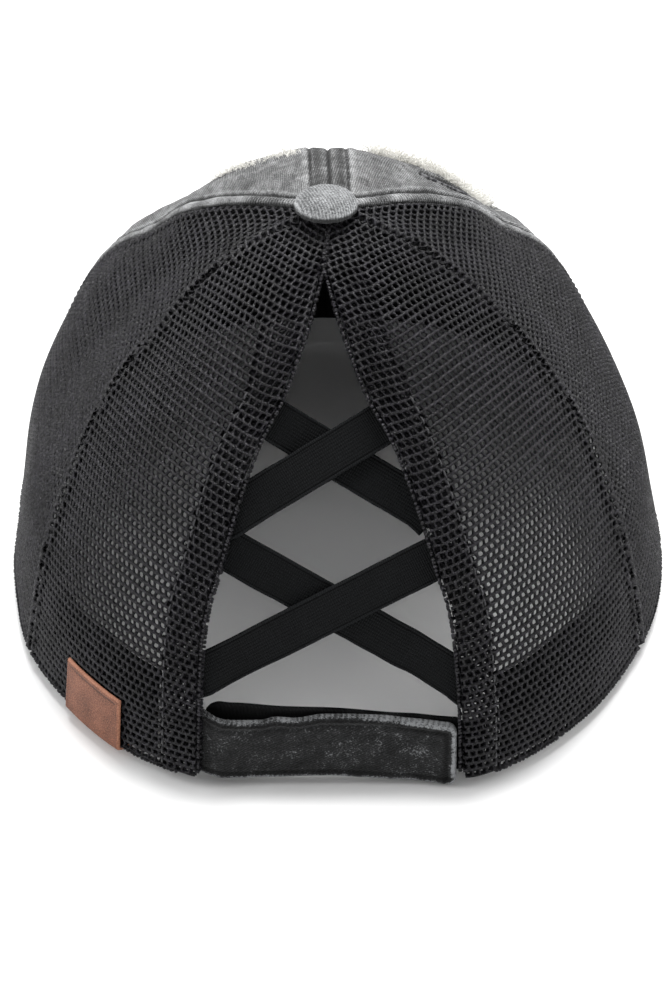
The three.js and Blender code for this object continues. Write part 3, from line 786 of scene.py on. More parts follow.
# Net panels.
def flat_map(start, end):
    """From a panel's flat cloth to the crown. The rows of the net lie straight across its middle line."""
    ways = np.linspace(0, 1, MAP_WAYS + 1)
    middle = (start(ways) + end(ways)) / 2
    turns = middle[:, None] + np.linspace(-MAP_TURN, MAP_TURN, 2 * MAP_TURN + 1)
    rise = lengths_along(crown_point(middle, ways))
    arcs = lengths_along(crown_point(turns, ways[:, None]))
    arcs -= arcs[:, MAP_TURN:MAP_TURN + 1]
    stretch = np.maximum(arcs[:, MAP_TURN + 1] - arcs[:, MAP_TURN - 1], LEAST_MM / 2)
    bend = np.clip(-np.gradient(stretch, rise) / stretch, 0, MAP_BEND)
    columns = 2 * MAP_REACH * MAP_PER_MM
    across = np.linspace(-MAP_REACH, MAP_REACH, columns + 1)
    table = np.stack([np.interp(across, arc, turn) for arc, turn in zip(arcs, turns)])

    def place(flat_x, flat_y):
        way = np.interp(flat_y, rise, ways)
        for _ in range(MAP_ROUNDS):
            sine = np.clip(np.interp(way, ways, bend) * flat_x, -MAP_SINE, MAP_SINE)
            angle = np.arcsin(sine)
            run = flat_x * np.where(np.abs(sine) > 1e-6, angle / np.where(sine == 0, 1, sine), 1)
            up = flat_y - flat_x * sine / (1 + np.cos(angle))
            way = np.interp(up, rise, ways)
        row = np.clip(way * MAP_WAYS, 0, MAP_WAYS - 0.001)
        column = np.clip((run + MAP_REACH) * MAP_PER_MM, 0, columns - 0.001)
        i, j = row.astype(int), column.astype(int)
        s, t = row - i, column - j
        low = table[i, j] * (1 - t) + table[i, j + 1] * t
        high = table[i + 1, j] * (1 - t) + table[i + 1, j + 1] * t
        return low * (1 - s) + high * s, way, up

    return place, rise[-1]


def sampled(function, top):
    """A function of the way up the crown as a quick table."""
    ways = np.linspace(0, top, 201)
    values = function(ways)
    return lambda way: np.interp(way, ways, values)


def mm_turn(turn, way):
    """Millimetres along the cloth for one degree of turn."""
    return np.linalg.norm(crown_point(turn + 0.5, way) - crown_point(turn - 0.5, way), axis=-1)


def net_sheet(start, end, seed, border, edges=((), ()), extra_depth=0.0, shift=(0, 0), frame_of=None):
    """A panel of net between two edges. Each mesh cell has a rounded hole, cells in neighbouring rows stand
    half a cell apart, and the thick threads run along the rows."""
    place, height = flat_map(*(frame_of or (start, end)))
    rows = np.arange(-NET_EXTRA_ROWS[0], int(height / NET_ROW) + NET_EXTRA_ROWS[1])
    columns = np.arange(-NET_REACH, NET_REACH + 1)
    j, i = [grid.ravel() for grid in np.meshgrid(rows, columns, indexing="ij")]
    centre_x = (i + 0.5 * (j % 2)) * NET_PITCH + shift[0]
    centre_y = j * NET_ROW + shift[1]
    turn, way, up = place(centre_x, centre_y)
    low, high = sampled(start, APEX_WAY), sampled(end, APEX_WAY)
    per = np.maximum(mm_turn(turn, way), LEAST_MM)
    to_edge = np.minimum(turn - low(way), high(way) - turn) * per
    inside = (to_edge > NET_ROOM) & (up > NET_LOWEST) & (way < APEX_WAY)
    i, j, centre_x, centre_y, to_edge = [values[inside] for values in (i, j, centre_x, centre_y, to_edge)]
    rng = np.random.default_rng(seed)

    key_x = (2 * i + (j % 2))[:, None] + np.array(CELL_X)
    key_y = (2 * j)[:, None] + np.array(CELL_Y)
    keys, where = np.unique((key_x + KEY_SHIFT) * KEY_STEP + key_y + KEY_SHIFT, return_inverse=True)
    where = where.reshape(key_x.shape)
    node_x = (keys // KEY_STEP - KEY_SHIFT) * NET_PITCH / 2 + shift[0]
    node_y = (keys % KEY_STEP - KEY_SHIFT) * NET_ROW / 2 + shift[1]
    node_rib = (keys % KEY_STEP - KEY_SHIFT) % 2 != 0
    node_x = node_x + rng.normal(0, NET_JITTER, len(keys))
    node_y = node_y + rng.normal(0, NET_JITTER, len(keys))

    angle = np.radians(np.array(CELL_TURNS))
    size = NET_HOLE * (1 + rng.normal(0, NET_SIZE_SPREAD, len(i)))[:, None]
    size = size * (1 + NET_SQUARENESS * np.sin(2 * angle) ** 2)
    open_share = smooth_step(*NET_EDGE_FADE, to_edge)
    size = size * (NET_EDGE_HOLE + (1 - NET_EDGE_HOLE) * open_share)[:, None]
    ring_y = size * np.sin(angle)
    lean = NET_SKEW * np.where(j % 2 == 0, 1, -1)[:, None]
    ring_x = size * np.cos(angle) + lean * ring_y
    ring_x = (ring_x + centre_x[:, None] + rng.normal(0, NET_JITTER, len(i))[:, None]).ravel()
    ring_y = (ring_y + centre_y[:, None] + rng.normal(0, NET_JITTER, len(i))[:, None]).ravel()

    def settle(flat_x, flat_y, depth, margins):
        turn, way, _ = place(flat_x, flat_y)
        per = np.maximum(mm_turn(turn, way), LEAST_MM)
        first, last = low(way) + margins[0] / per, high(way) - margins[1] / per
        turn = np.clip(turn, first, np.maximum(last, first + 0.01))
        way = np.clip(way, 0, APEX_WAY)
        lift = bumps(edges[0], (turn - low(way)) * per) + bumps(edges[1], (high(way) - turn) * per)
        return cloth_point(turn, way, depth + extra_depth - lift)

    rib_front = np.where(node_rib, NET_DEPTHS["rib"], NET_DEPTHS["bar"])
    rib_back = np.where(node_rib, NET_DEPTHS["rib_back"], NET_DEPTHS["bar_back"])
    hole_depth = np.full(ring_x.size, NET_DEPTHS["hole"])
    front = settle(node_x, node_y, rib_front, border)
    back = settle(node_x, node_y, rib_back, border)
    ring = settle(ring_x, ring_y, hole_depth, (border[0] + NET_BORDER, border[1] + NET_BORDER))
    count = len(keys)
    hole = np.arange(ring_x.size).reshape(where.shape) + 2 * count
    after = np.roll(where, -1, axis=1)
    hole_after = np.roll(hole, -1, axis=1)
    front_faces = np.stack([after, where, hole, hole_after], axis=-1).reshape(-1, 4)
    back_faces = np.stack([where + count, after + count, hole_after, hole], axis=-1).reshape(-1, 4)
    flat = flat_cloth(
        np.concatenate([node_x, node_x, ring_x]),
        np.concatenate([node_y, node_y, ring_y]),
        np.concatenate([rib_front, rib_back, hole_depth]),
    )
    return np.concatenate([front, back, ring]), [front_faces, back_faces], flat


def edge_path(turn_of, ways, depth):
    """Points and outward normals along an edge of a panel."""
    turns = turn_of(ways)
    return cloth_point(turns, ways, np.full(len(ways), depth)), crown_normal(turns, ways)


def shifted(turn_of, distance):
    """An edge moved along the cloth by a distance, clockwise seen from above."""
    return lambda way: turn_of(way) + distance / np.maximum(mm_turn(turn_of(way), way), 0.05)


def even_ways(turn_of, low, high, step):
    """Ways up an edge that lie a step apart along it."""
    ways = np.linspace(low, high, 400)
    along = lengths_along(crown_point(turn_of(ways), ways))
    count = max(int(along[-1] / step), 2)
    return np.interp(np.linspace(0, along[-1], count), along, ways)


def tape_strip(turn_of):
    """A flat tape that follows a seam behind the cloth."""
    ways = even_ways(turn_of, 0, APEX_WAY, TAPE_STEP)
    offsets = np.linspace(-TAPE_HALF, TAPE_HALF, 7)
    turns = np.stack([shifted(turn_of, offset)(ways) for offset in offsets])
    grid = np.broadcast_to(ways, turns.shape)
    depths = np.full(turns.shape, TAPE_DEPTH)
    return closed_wall(cloth_point(turns, grid, depths), cloth_point(turns, grid, depths + TAPE_WALL))


FRONT_RIGHT = sampled(front_seam, 1)
BACK_RIGHT = sampled(back_seam, 1)
FRONT_LEFT = sampled(lambda way: 360 - front_seam(way), 1)
BACK_LEFT = sampled(lambda way: 360 - back_seam(way), 1)
OPEN_RIGHT = sampled(lambda way: opening_turn(way, 1), APEX_WAY)
OPEN_LEFT = sampled(lambda way: opening_turn(way, -1), APEX_WAY)


def hem_inner(edge, seam, side):
    """The inner border of the folded hem. The hem narrows toward the apex with its panel."""
    def turn(way):
        per = np.maximum(mm_turn(edge(way), way), 0.05)
        room = np.abs(edge(way) - seam(way)) * per
        return edge(way) - side * np.minimum(HEM_WIDTH, room / 2) / per
    return sampled(turn, APEX_WAY)


HEM_RIGHT = hem_inner(OPEN_RIGHT, BACK_RIGHT, 1)
HEM_LEFT = hem_inner(OPEN_LEFT, BACK_LEFT, -1)


def make_net(name, sheets, extras):
    parts = [sheet[:2] for sheet in sheets] + extras
    points, faces = joined(parts)
    cloth = np.concatenate([sheet[2] for sheet in sheets] + [part[0] for part in extras])
    return make_piece(name + "_net", points, faces, NET, "mesh_cloth", (name,), cloth)


def edge_loops(turns, ways, side, kind, seed):
    """Loops of thread that go round a folded edge from its outer to its inner layer. Without a side they
    point down."""
    rng = np.random.default_rng(seed)
    base = cloth_point(turns, ways, np.zeros(len(turns)))
    normals = crown_normal(turns, ways)
    along = unit(np.gradient(base, axis=0))
    outward = unit(np.cross(normals, along))
    outward = outward * -(np.sign(outward[:, 2:3]) if side is None else side)
    bend = np.linspace(-EDGE_LOOP_OVER, math.pi + EDGE_LOOP_OVER, kind["points"])
    depth = kind["middle"] - kind["half"] * np.cos(bend)
    parts = []
    for point, normal, tangent, out in zip(base, normals, along, outward):
        reach = kind["reach"] * rng.uniform(*kind["range"])
        lean = rng.normal(0, kind["lean"])
        line = point + out * (np.sin(bend) * reach - kind["inset"])[:, None] - normal * depth[:, None]
        line = line + tangent * (lean * np.cos(bend))[:, None]
        radius = EDGE_LOOP_RADIUS * rng.uniform(*kind["thickness"])
        parts.append(tube(line, radius, LOOP_SIDES, tangent))
    return joined(parts)


def hem_loops(edge, side, seed):
    ways = even_ways(edge, HEM_LOOP_START, APEX_WAY, EDGE_LOOP_PITCH)
    return edge_loops(edge(ways), ways, side, HEM_LOOP, seed)


def rim_loops(low_turn, high_turn, seed):
    turns = np.linspace(low_turn, high_turn, 600)
    run = lengths_along(crown_point(turns, 0))
    places = np.arange(RIM_LOOP_ENDS[0], run[-1] - RIM_LOOP_ENDS[1], EDGE_LOOP_PITCH)
    turns = np.interp(places, run, turns)
    return edge_loops(turns, 0 * turns, None, RIM_LOOP, seed)


SEAMED = (SEAM_RELIEF, SEAM_RELIEF)
make_net(
    "side_panel_right",
    [net_sheet(FRONT_RIGHT, BACK_RIGHT, 11, SEAM_BORDER, SEAMED)],
    [rim_loops(56.5, 120.5, 61)],
)
make_net(
    "side_panel_left",
    [net_sheet(BACK_LEFT, FRONT_LEFT, 12, SEAM_BORDER, SEAMED)],
    [rim_loops(239.5, 303.5, 62)],
)
make_net(
    "back_panel_right",
    [
        net_sheet(BACK_RIGHT, OPEN_RIGHT, 13, (0.12, 0.35), (SEAM_RELIEF, HEM_RELIEF)),
        net_sheet(HEM_RIGHT, OPEN_RIGHT, 14, (0.1, 0.4), extra_depth=HEM_DEPTH, shift=HEM_SHIFT,
                  frame_of=(BACK_RIGHT, OPEN_RIGHT)),
    ],
    [hem_loops(OPEN_RIGHT, 1, 63), rim_loops(121.5, 158, 64)],
)
make_net(
    "back_panel_left",
    [
        net_sheet(OPEN_LEFT, BACK_LEFT, 15, (0.35, 0.12), (HEM_RELIEF, SEAM_RELIEF)),
        net_sheet(OPEN_LEFT, HEM_LEFT, 16, (0.4, 0.1), extra_depth=HEM_DEPTH, shift=HEM_SHIFT,
                  frame_of=(OPEN_LEFT, BACK_LEFT)),
    ],
    [hem_loops(OPEN_LEFT, -1, 65), rim_loops(202.5, 238.5, 66)],
)

tapes = [tape_strip(seam) for seam in (FRONT_RIGHT, BACK_RIGHT, FRONT_LEFT, BACK_LEFT)]
make_piece("seam_tapes", *joined(tapes), TAPE, "black_tape")


# Washed twill front panels.
NEAR = np.array([
    0, 0.12, 0.25, 0.4, 0.6, 0.8, 1.0, 1.3, 1.7, 2.1, 2.5, 2.9, 3.3, 3.7, 4.0, 4.25, 4.5, 4.7, 4.9, 5.15,
    5.4, 5.8, 6.3, 7.0, 7.8, 8.8,
])


def panel_grid(start, end):
    """Turns and ways of a fine grid, with each point's distance from the panel's two edges and the rim."""
    ways = np.linspace(0, APEX_WAY, TWILL_ROWS)
    share = np.linspace(0, 1, 41)
    turns, near_start, near_end = [], [], []
    for way in ways:
        row = start(way) + (end(way) - start(way)) * share
        arc = lengths_along(crown_point(row, way))
        width = arc[-1]
        edge = NEAR * min(1, width / (2 * NEAR[-1] + 4))
        middle = np.linspace(edge[-1], width - edge[-1], MIDDLE_COLUMNS + 1)[1:-1]
        places = np.concatenate([edge, middle, width - edge[::-1]])
        turns.append(np.interp(places, arc, row))
        near_start.append(places)
        near_end.append(width - places)
    along = lengths_along(crown_point((start(ways) + end(ways)) / 2, ways))
    turns, near_start, near_end = [np.array(values).T for values in (turns, near_start, near_end)]
    grid = np.broadcast_to(ways, turns.shape)
    return turns, grid, near_start, near_end, np.broadcast_to(along, turns.shape)


def crown_place(turn, way):
    return crown_point(np.array([turn]), np.array([way]))[0]


HOLE_ENDS = (crown_place(39.5, 0.745), crown_place(48.5, 0.645))
HOLE_HALF_WIDTH = 5.0


def hole_depth(points):
    """How far inside the worn hole a point lies: one in its middle and nought at its edge."""
    first, last = HOLE_ENDS
    axis = last - first
    share = np.clip((points - first) @ axis / (axis @ axis), 0, 1)
    away = np.linalg.norm(points - first - share[..., None] * axis, axis=-1)
    half = HOLE_HALF_WIDTH * np.sqrt(np.clip(4 * share * (1 - share), 0.02, 1))
    return np.clip(1 - away / half, 0, 1), away - half


def twill_panel(name, start, end, centre_first, seed):
    turns, ways, near_start, near_end, along = panel_grid(start, end)
    centre, side = (near_start, near_end) if centre_first else (near_end, near_start)
    points = crown_point(turns, ways)
    wrinkle = 0.28 * ripple(points, 17, seed) + 0.12 * ripple(points, 6, seed + 1)
    pucker = np.sin(2 * np.pi * along / 3.4 + 1.5 * ripple(points, 14, seed + 2))
    strip = smooth_step(0.3, 1.4, centre) * (1 - smooth_step(3.4, 4.4, centre))
    inside, away = hole_depth(points)
    lift = wrinkle * smooth_step(0, 8, centre) * smooth_step(0, 8, side) + 0.12 * strip
    lift = lift + bumps(CENTRE_RELIEF, centre) + 0.1 * pucker * bump_at(TOPSTITCH_IN, 2.4, centre)
    lift = lift + bumps(SIDE_RELIEF, side) + 0.12 * pucker * bump_at(BORDER_STITCH_IN + 1, 2.2, side)
    lift = lift - 1.1 * smooth_step(0.0, 0.35, inside) + 0.2 * bump_at(0.6, 0.8, away)
    # Painted shade darkens the centre seam and topstitch grooves, the strip's edge by the topstitching and
    # the inside of the worn hole; the puckers get a painted highlight on their crests and painted shade in
    # their hollows, and the raised lines beside the stitching are rubbed light.
    wear_and_shade = bumps(CENTRE_WEAR_AND_SHADE, centre) + bumps(SIDE_WEAR_AND_SHADE, side) - 0.7 * strip * bump_at(3.1, 1.4, centre)
    wear_and_shade = wear_and_shade + 0.15 * pucker * bump_at(TOPSTITCH_IN, 2.0, centre) - 2.0 * smooth_step(0.05, 0.4, inside)
    return wall_piece(
        name + "_cloth",
        cloth_point(turns, ways, -lift),
        cloth_point(turns, ways, np.full(turns.shape, TWILL_WALL - 0.3)),
        PANEL_TWILL, "washed_twill", name, flat_cloth(centre if centre_first else -centre, along, 0.0), wear_and_shade,
        # The inner face is painted much darker than the outer face.
        inner_face_tone=-0.6,
    )


def ribbed_roll(edge, side):
    """The narrow ribbed border of the twill where it turns under along the net."""
    middle = shifted(edge, -side * BORDER_IN)
    ways = even_ways(middle, 0, APEX_WAY, 0.2)
    path, normals = edge_path(middle, ways, 0.1)
    along = lengths_along(path)
    tangent = unit(np.gradient(path, axis=0))
    across = unit(np.cross(tangent, normals))
    up = np.cross(tangent, across)
    angle = np.linspace(0, 2 * np.pi, BORDER_SIDES, endpoint=False)
    rib = np.cos(2 * np.pi * along / BORDER_RIB)
    swell = (1 + 0.06 * rib + 0.1 * ripple(path, 7, SEED))[:, None, None]
    wide = BORDER_HALF[0] * np.cos(angle)[None, :, None] * across[:, None] * swell
    tall = BORDER_HALF[1] * np.sin(angle)[None, :, None] * up[:, None] * (swell + 0.12 * rib[:, None, None])
    solid, faces = swept(path[:, None] + wide + tall)
    # The rib crests are rubbed light and painted shade darkens the troughs between them, over a random
    # patchiness.
    wear_and_shade = np.repeat(0.45 * rib + 0.15 + 0.3 * ripple(path, 9, SEED + 3), BORDER_SIDES)
    return solid, faces, with_ends(wear_and_shade), with_ends(flat_cloth(angle[None, :], along[:, None], 0.0))


rolls = [ribbed_roll(FRONT_RIGHT, 1), ribbed_roll(FRONT_LEFT, -1)]
make_piece(
    "panel_borders", *joined([roll[:2] for roll in rolls]), BORDER_TWILL, "washed_twill", (),
    np.concatenate([roll[3] for roll in rolls]), np.concatenate([roll[2] for roll in rolls]),
)


def full_turn(way):
    return 360.0 + 0 * way


def no_turn(way):
    return 0.0 * way


twill_panel("front_panel_right", no_turn, shifted(FRONT_RIGHT, -0.15), True, 21)
twill_panel("front_panel_left", shifted(FRONT_LEFT, 0.15), full_turn, False, 22)


# Frayed threads along the worn edges of the front panels.
FRAYS = [
    {
        "turns": (14, 23, 33, 41, 40, 37), "ways": (0.69, 0.685, 0.67, 0.65, 0.56, 0.47),
        "threads": 1600, "reach": 4.6,
    },
    {"turns": (323, 328, 339, 348), "ways": (0.665, 0.705, 0.72, 0.73), "threads": 420, "reach": 2.6},
]
FRAY_OUT = (0.35, 1.0)
FRAY_ASIDE = (0.2, 1.1)
FRAY_CURL = (0.1, 0.45)
FRAY_REACH = (0.35, 1.15)
FRAY_RADIUS = (0.05, 0.11)
HOLE_THREADS = 11
HOLE_THREAD_RADIUS = (0.28, 0.42)


def curled_thread(rng, start, normal, reach, radius):
    """A loose thread that stands out of the cloth and curls over."""
    side = unit(np.cross(normal, rng.normal(size=3)))
    lean = unit(normal * rng.uniform(*FRAY_OUT) + side * rng.uniform(*FRAY_ASIDE))
    other = unit(np.cross(lean, side))
    share = np.linspace(0, 1, 7)[:, None]
    curl = rng.uniform(*FRAY_CURL) * reach
    phase = rng.uniform(0, 2 * np.pi)
    line = start + lean * share * reach + side * curl * share ** 2 * rng.choice((-1, 1))
    line = line + other * 0.16 * reach * (np.sin(phase + 5 * share) - math.sin(phase))
    line = line - normal * 0.25
    return tube(line, radius * (1 - 0.5 * share[:, 0]), 3, side)


def fray(rows):
    rng = np.random.default_rng(SEED)
    parts = []
    for row in rows:
        marks = np.arange(len(row["turns"]))
        places = rng.uniform(0, marks[-1], row["threads"])
        turns = np.interp(places, marks, row["turns"]) + rng.normal(0, 1.6, len(places))
        ways = np.interp(places, marks, row["ways"]) + rng.normal(0, 0.014, len(places))
        starts = cloth_point(turns, ways, np.zeros(len(turns)))
        normals = crown_normal(turns, ways)
        for start, normal in zip(starts, normals):
            reach = row["reach"] * rng.uniform(*FRAY_REACH)
            parts.append(curled_thread(rng, start, normal, reach, rng.uniform(*FRAY_RADIUS)))
    return joined(parts)


def hole_threads():
    """Twisted threads left across the worn hole."""
    rng = np.random.default_rng(SEED + 1)
    first, last = HOLE_ENDS
    axis = unit(last - first)
    parts = []
    for share in np.linspace(0.08, 0.92, HOLE_THREADS):
        middle = first + (last - first) * share
        normal = unit(middle - np.array([0, -APEX_BACKWARD, 20.0]))
        across = unit(np.cross(normal, axis) + axis * rng.uniform(0.2, 0.5))
        half = HOLE_HALF_WIDTH * math.sqrt(4 * share * (1 - share)) + 0.9
        run = np.linspace(-half, half, 15)[:, None]
        line = middle + across * run + normal * (0.1 - 0.3 * (1 - (run / half) ** 2))
        line = line + axis * 0.15 * np.sin(run * 4 + share * 20)
        parts.append(tube(line, rng.uniform(*HOLE_THREAD_RADIUS), 6, normal))
    return joined(parts)


make_piece("frayed_threads", *fray(FRAYS), CREAM, "washed_twill")
make_piece("hole_threads", *hole_threads(), DARK_THREAD, "washed_twill")


def sewn_row(turn_of, offset, depth, length, pitch, radius, high):
    """A row of stitches up an edge, moved along the cloth by an offset, as far as a way up."""
    edge = shifted(turn_of, offset)
    path, normals = edge_path(edge, even_ways(edge, 0, high, 0.5), depth)
    return stitches(path, normals, length, pitch, radius)


make_piece("sewing_threads", *joined([
    sewn_row(no_turn, TOPSTITCH_IN, high=0.9, **PANEL_STITCH),
    sewn_row(full_turn, -TOPSTITCH_IN, high=0.9, **PANEL_STITCH),
    sewn_row(FRONT_RIGHT, -BORDER_STITCH_IN - 0.1, high=0.93, **PANEL_STITCH),
    sewn_row(FRONT_LEFT, BORDER_STITCH_IN + 0.1, high=0.93, **PANEL_STITCH),
    sewn_row(OPEN_RIGHT, -HEM_STITCH_IN, high=0.62, **HEM_STITCH),
    sewn_row(OPEN_LEFT, HEM_STITCH_IN, high=0.62, **HEM_STITCH),
]), SEWING_THREAD, "washed_twill")


# Button.
def button_piece():
    """A domed top over a pleated skirt, ribbed across the top and leaning a little toward the brim."""
    angle = np.radians(np.linspace(*BUTTON_ANGLES, BUTTON_RINGS))[:, None]
    around = np.linspace(0, 2 * np.pi, BUTTON_SIDES, endpoint=False)[None, :]
    dome = np.abs(np.cos(angle)) ** BUTTON_FULLNESS
    reach = BUTTON_DIAMETER / 2 * np.where(angle > 0, dome, np.cos(0.5 * angle))
    reach = reach + BUTTON_PLEAT_HEIGHT * np.sin(BUTTON_PLEATS * around) * bump_at(-0.6, 0.5, angle)
    x = reach * np.cos(around) + BUTTON_ASIDE
    y = reach * np.sin(around)
    slant = math.radians(BUTTON_SLANT)
    ridge_place = x * math.cos(slant) + (y - APEX_BACKWARD) * math.sin(slant)
    ridge = np.sin(2 * np.pi * ridge_place / BUTTON_RIB)
    z = np.where(angle > 0, BUTTON_HALF_UP, BUTTON_HALF_DOWN) * np.sin(angle)
    z = z + BUTTON_RIB_HEIGHT * ridge * smooth_step(-0.1, 0.5, angle) - BUTTON_SINK
    cosine, sine = math.cos(math.radians(BUTTON_LEAN)), math.sin(math.radians(BUTTON_LEAN))
    middle = button_high[2] * 1000 - BUTTON_HALF_UP
    points = np.stack([x, y * cosine + z * sine - APEX_BACKWARD, z * cosine - y * sine + middle], axis=-1)
    # A lighter band round the edge of the top is a painted highlight, painted shade darkens the skirt under
    # the dome, and the rib crests are painted a little lighter than their troughs.
    wear_and_shade = 0.5 * bump_at(0.3, 0.25, angle) - 2.2 * (1 - smooth_step(-0.15, 0.2, angle)) + 0.1 * ridge
    last_ring = (BUTTON_RINGS - 1) * BUTTON_SIDES
    faces = [
        grid_faces(BUTTON_RINGS, BUTTON_SIDES, closed=True),
        np.arange(BUTTON_SIDES)[None, ::-1],
        np.arange(BUTTON_SIDES)[None, :] + last_ring,
    ]
    return make_piece("button_cloth", points, faces, BUTTON_TWILL, "button_twill", ("button",), None, wear_and_shade)


button_piece()


# Brim: a stiff board covered with twill.
def brim_grid(shares, runs):
    share, run = np.meshgrid(shares, runs, indexing="ij")
    turn = share * BRIM_HALF_TURN
    rim = rim_point(turn)
    outward = crown_normal(turn, 0 * turn)
    outward[..., 2] = 0
    start = rim + unit(outward) * 0.3
    sweep = share * np.pi / 2
    corner = rim_point(np.array(BRIM_HALF_TURN))
    sine, cosine = np.abs(np.sin(sweep)), np.maximum(np.cos(sweep), 0)
    tip = FRONT_REACH + BRIM_LENGTH
    edge_y = corner[1] + BRIM_CORNER + (tip - corner[1] - BRIM_CORNER) * cosine ** BRIM_TIP_FULLNESS
    edge_x = BRIM_WIDTH / 2 * np.sign(share) * sine ** BRIM_SIDE_FULLNESS
    edge = np.stack([edge_x, edge_y, BRIM_TIP_LIFT * cosine ** 2], axis=-1)
    return start + (edge - start) * run[..., None], np.linalg.norm(edge - start, axis=-1) * (1 - run)


def brim_piece():
    shares = np.linspace(-1, 1, 161)
    runs = 1 - (1 - np.linspace(0, 1, 120)) ** 1.25
    points, from_edge = brim_grid(shares, runs)
    round_off = rounded(from_edge, BRIM_EDGE)
    row = (from_edge - BRIM_STITCH_START) / BRIM_STITCH_PITCH
    nearest = np.clip(np.round(row), 0, BRIM_STITCH_ROWS - 1)
    groove = bump_at(0, 0.55, (row - nearest) * BRIM_STITCH_PITCH)
    half = BRIM_WALL / 2
    wrinkle = 0.12 * ripple(points, 12, SEED)
    top, bottom = points.copy(), points.copy()
    top[..., 2] += half + half * round_off - 0.3 * groove + wrinkle * round_off
    bottom[..., 2] += half - half * round_off + 0.25 * groove
    # The brim's edge is rubbed light; painted shade darkens the stitch grooves.
    wear_and_shade = 0.7 * bump_at(0, 1.6, from_edge) - 0.7 * groove
    across = lengths_along(np.swapaxes(points, 0, 1)).T
    flat = flat_cloth(across - across.mean(axis=0), -from_edge, 0.0)
    return wall_piece("brim_cloth", bottom, top, PANEL_TWILL, "washed_twill", "brim", flat, wear_and_shade)


brim_piece()


# Sweatband.
def sweatband_piece():
    room = HEM_WIDTH + 0.4
    start = float(back_turn_at(opening_edge(0, -1) - room, 0)) - 360
    end = float(back_turn_at(opening_edge(0, 1) + room, 0))
    turns = np.linspace(start, end, 321)[:, None]
    fine_top = np.linspace(22.6, SWEATBAND_HEIGHT, 7)
    heights = np.concatenate([np.linspace(0.6, 3, 7), np.linspace(4, 22, 10), fine_top])
    turns, heights = np.broadcast_arrays(turns, heights[None, :])
    fold = bump_at(SWEATBAND_HEIGHT - 1.2, 1.0, heights)
    groove = bump_at(SWEATBAND_HEIGHT - 3.2, 0.5, heights)
    plain = height_point(turns, heights, np.full(turns.shape, SWEATBAND_DEPTH))
    wave = 0.25 * ripple(plain, 14, SEED) * smooth_step(2, 10, heights)
    outer = height_point(turns, heights, SWEATBAND_DEPTH + 0.1 + 0 * wave)
    swell = 0.3 * fold - 0.3 * groove + 0.4 * np.abs(wave)
    inner = height_point(turns, heights, SWEATBAND_DEPTH + SWEATBAND_WALL - 0.25 + swell)
    return wall_piece("sweatband_cloth", outer, inner, TAPE, "black_tape", "sweatband")


sweatband_piece()


# Straps of the closure.
strap_top = smooth_curve(STRAP_EDGE["across"], STRAP_EDGE["top"])
strap_bottom = smooth_curve(STRAP_EDGE["across"], STRAP_EDGE["bottom"])
inner_top = smooth_curve(INNER_TOP["across"], INNER_TOP["top"])
inner_dip = smooth_curve(INNER_TOP["across"], INNER_TOP["dip"])


def strap_grid(x, bottom, top, rows, depth, lift):
    """Points of one face of a strap that follows the back of the rim, between two level edges."""
    level = bottom[:, None] + (top - bottom)[:, None] * rows[None, :]
    turn = np.broadcast_to(back_turn_at(x, 0)[:, None], level.shape)
    base = rim_point(turn)[..., 2]
    point = height_point(turn, level - base, depth[:, None] - lift)
    point[..., 2] = level
    return point


def strap_rows(count):
    """Shares of a strap's height, closer together at both edges."""
    share = np.linspace(0, 1, count)
    return (1 - np.cos(np.pi * share)) / 2 * 0.55 + share * 0.45


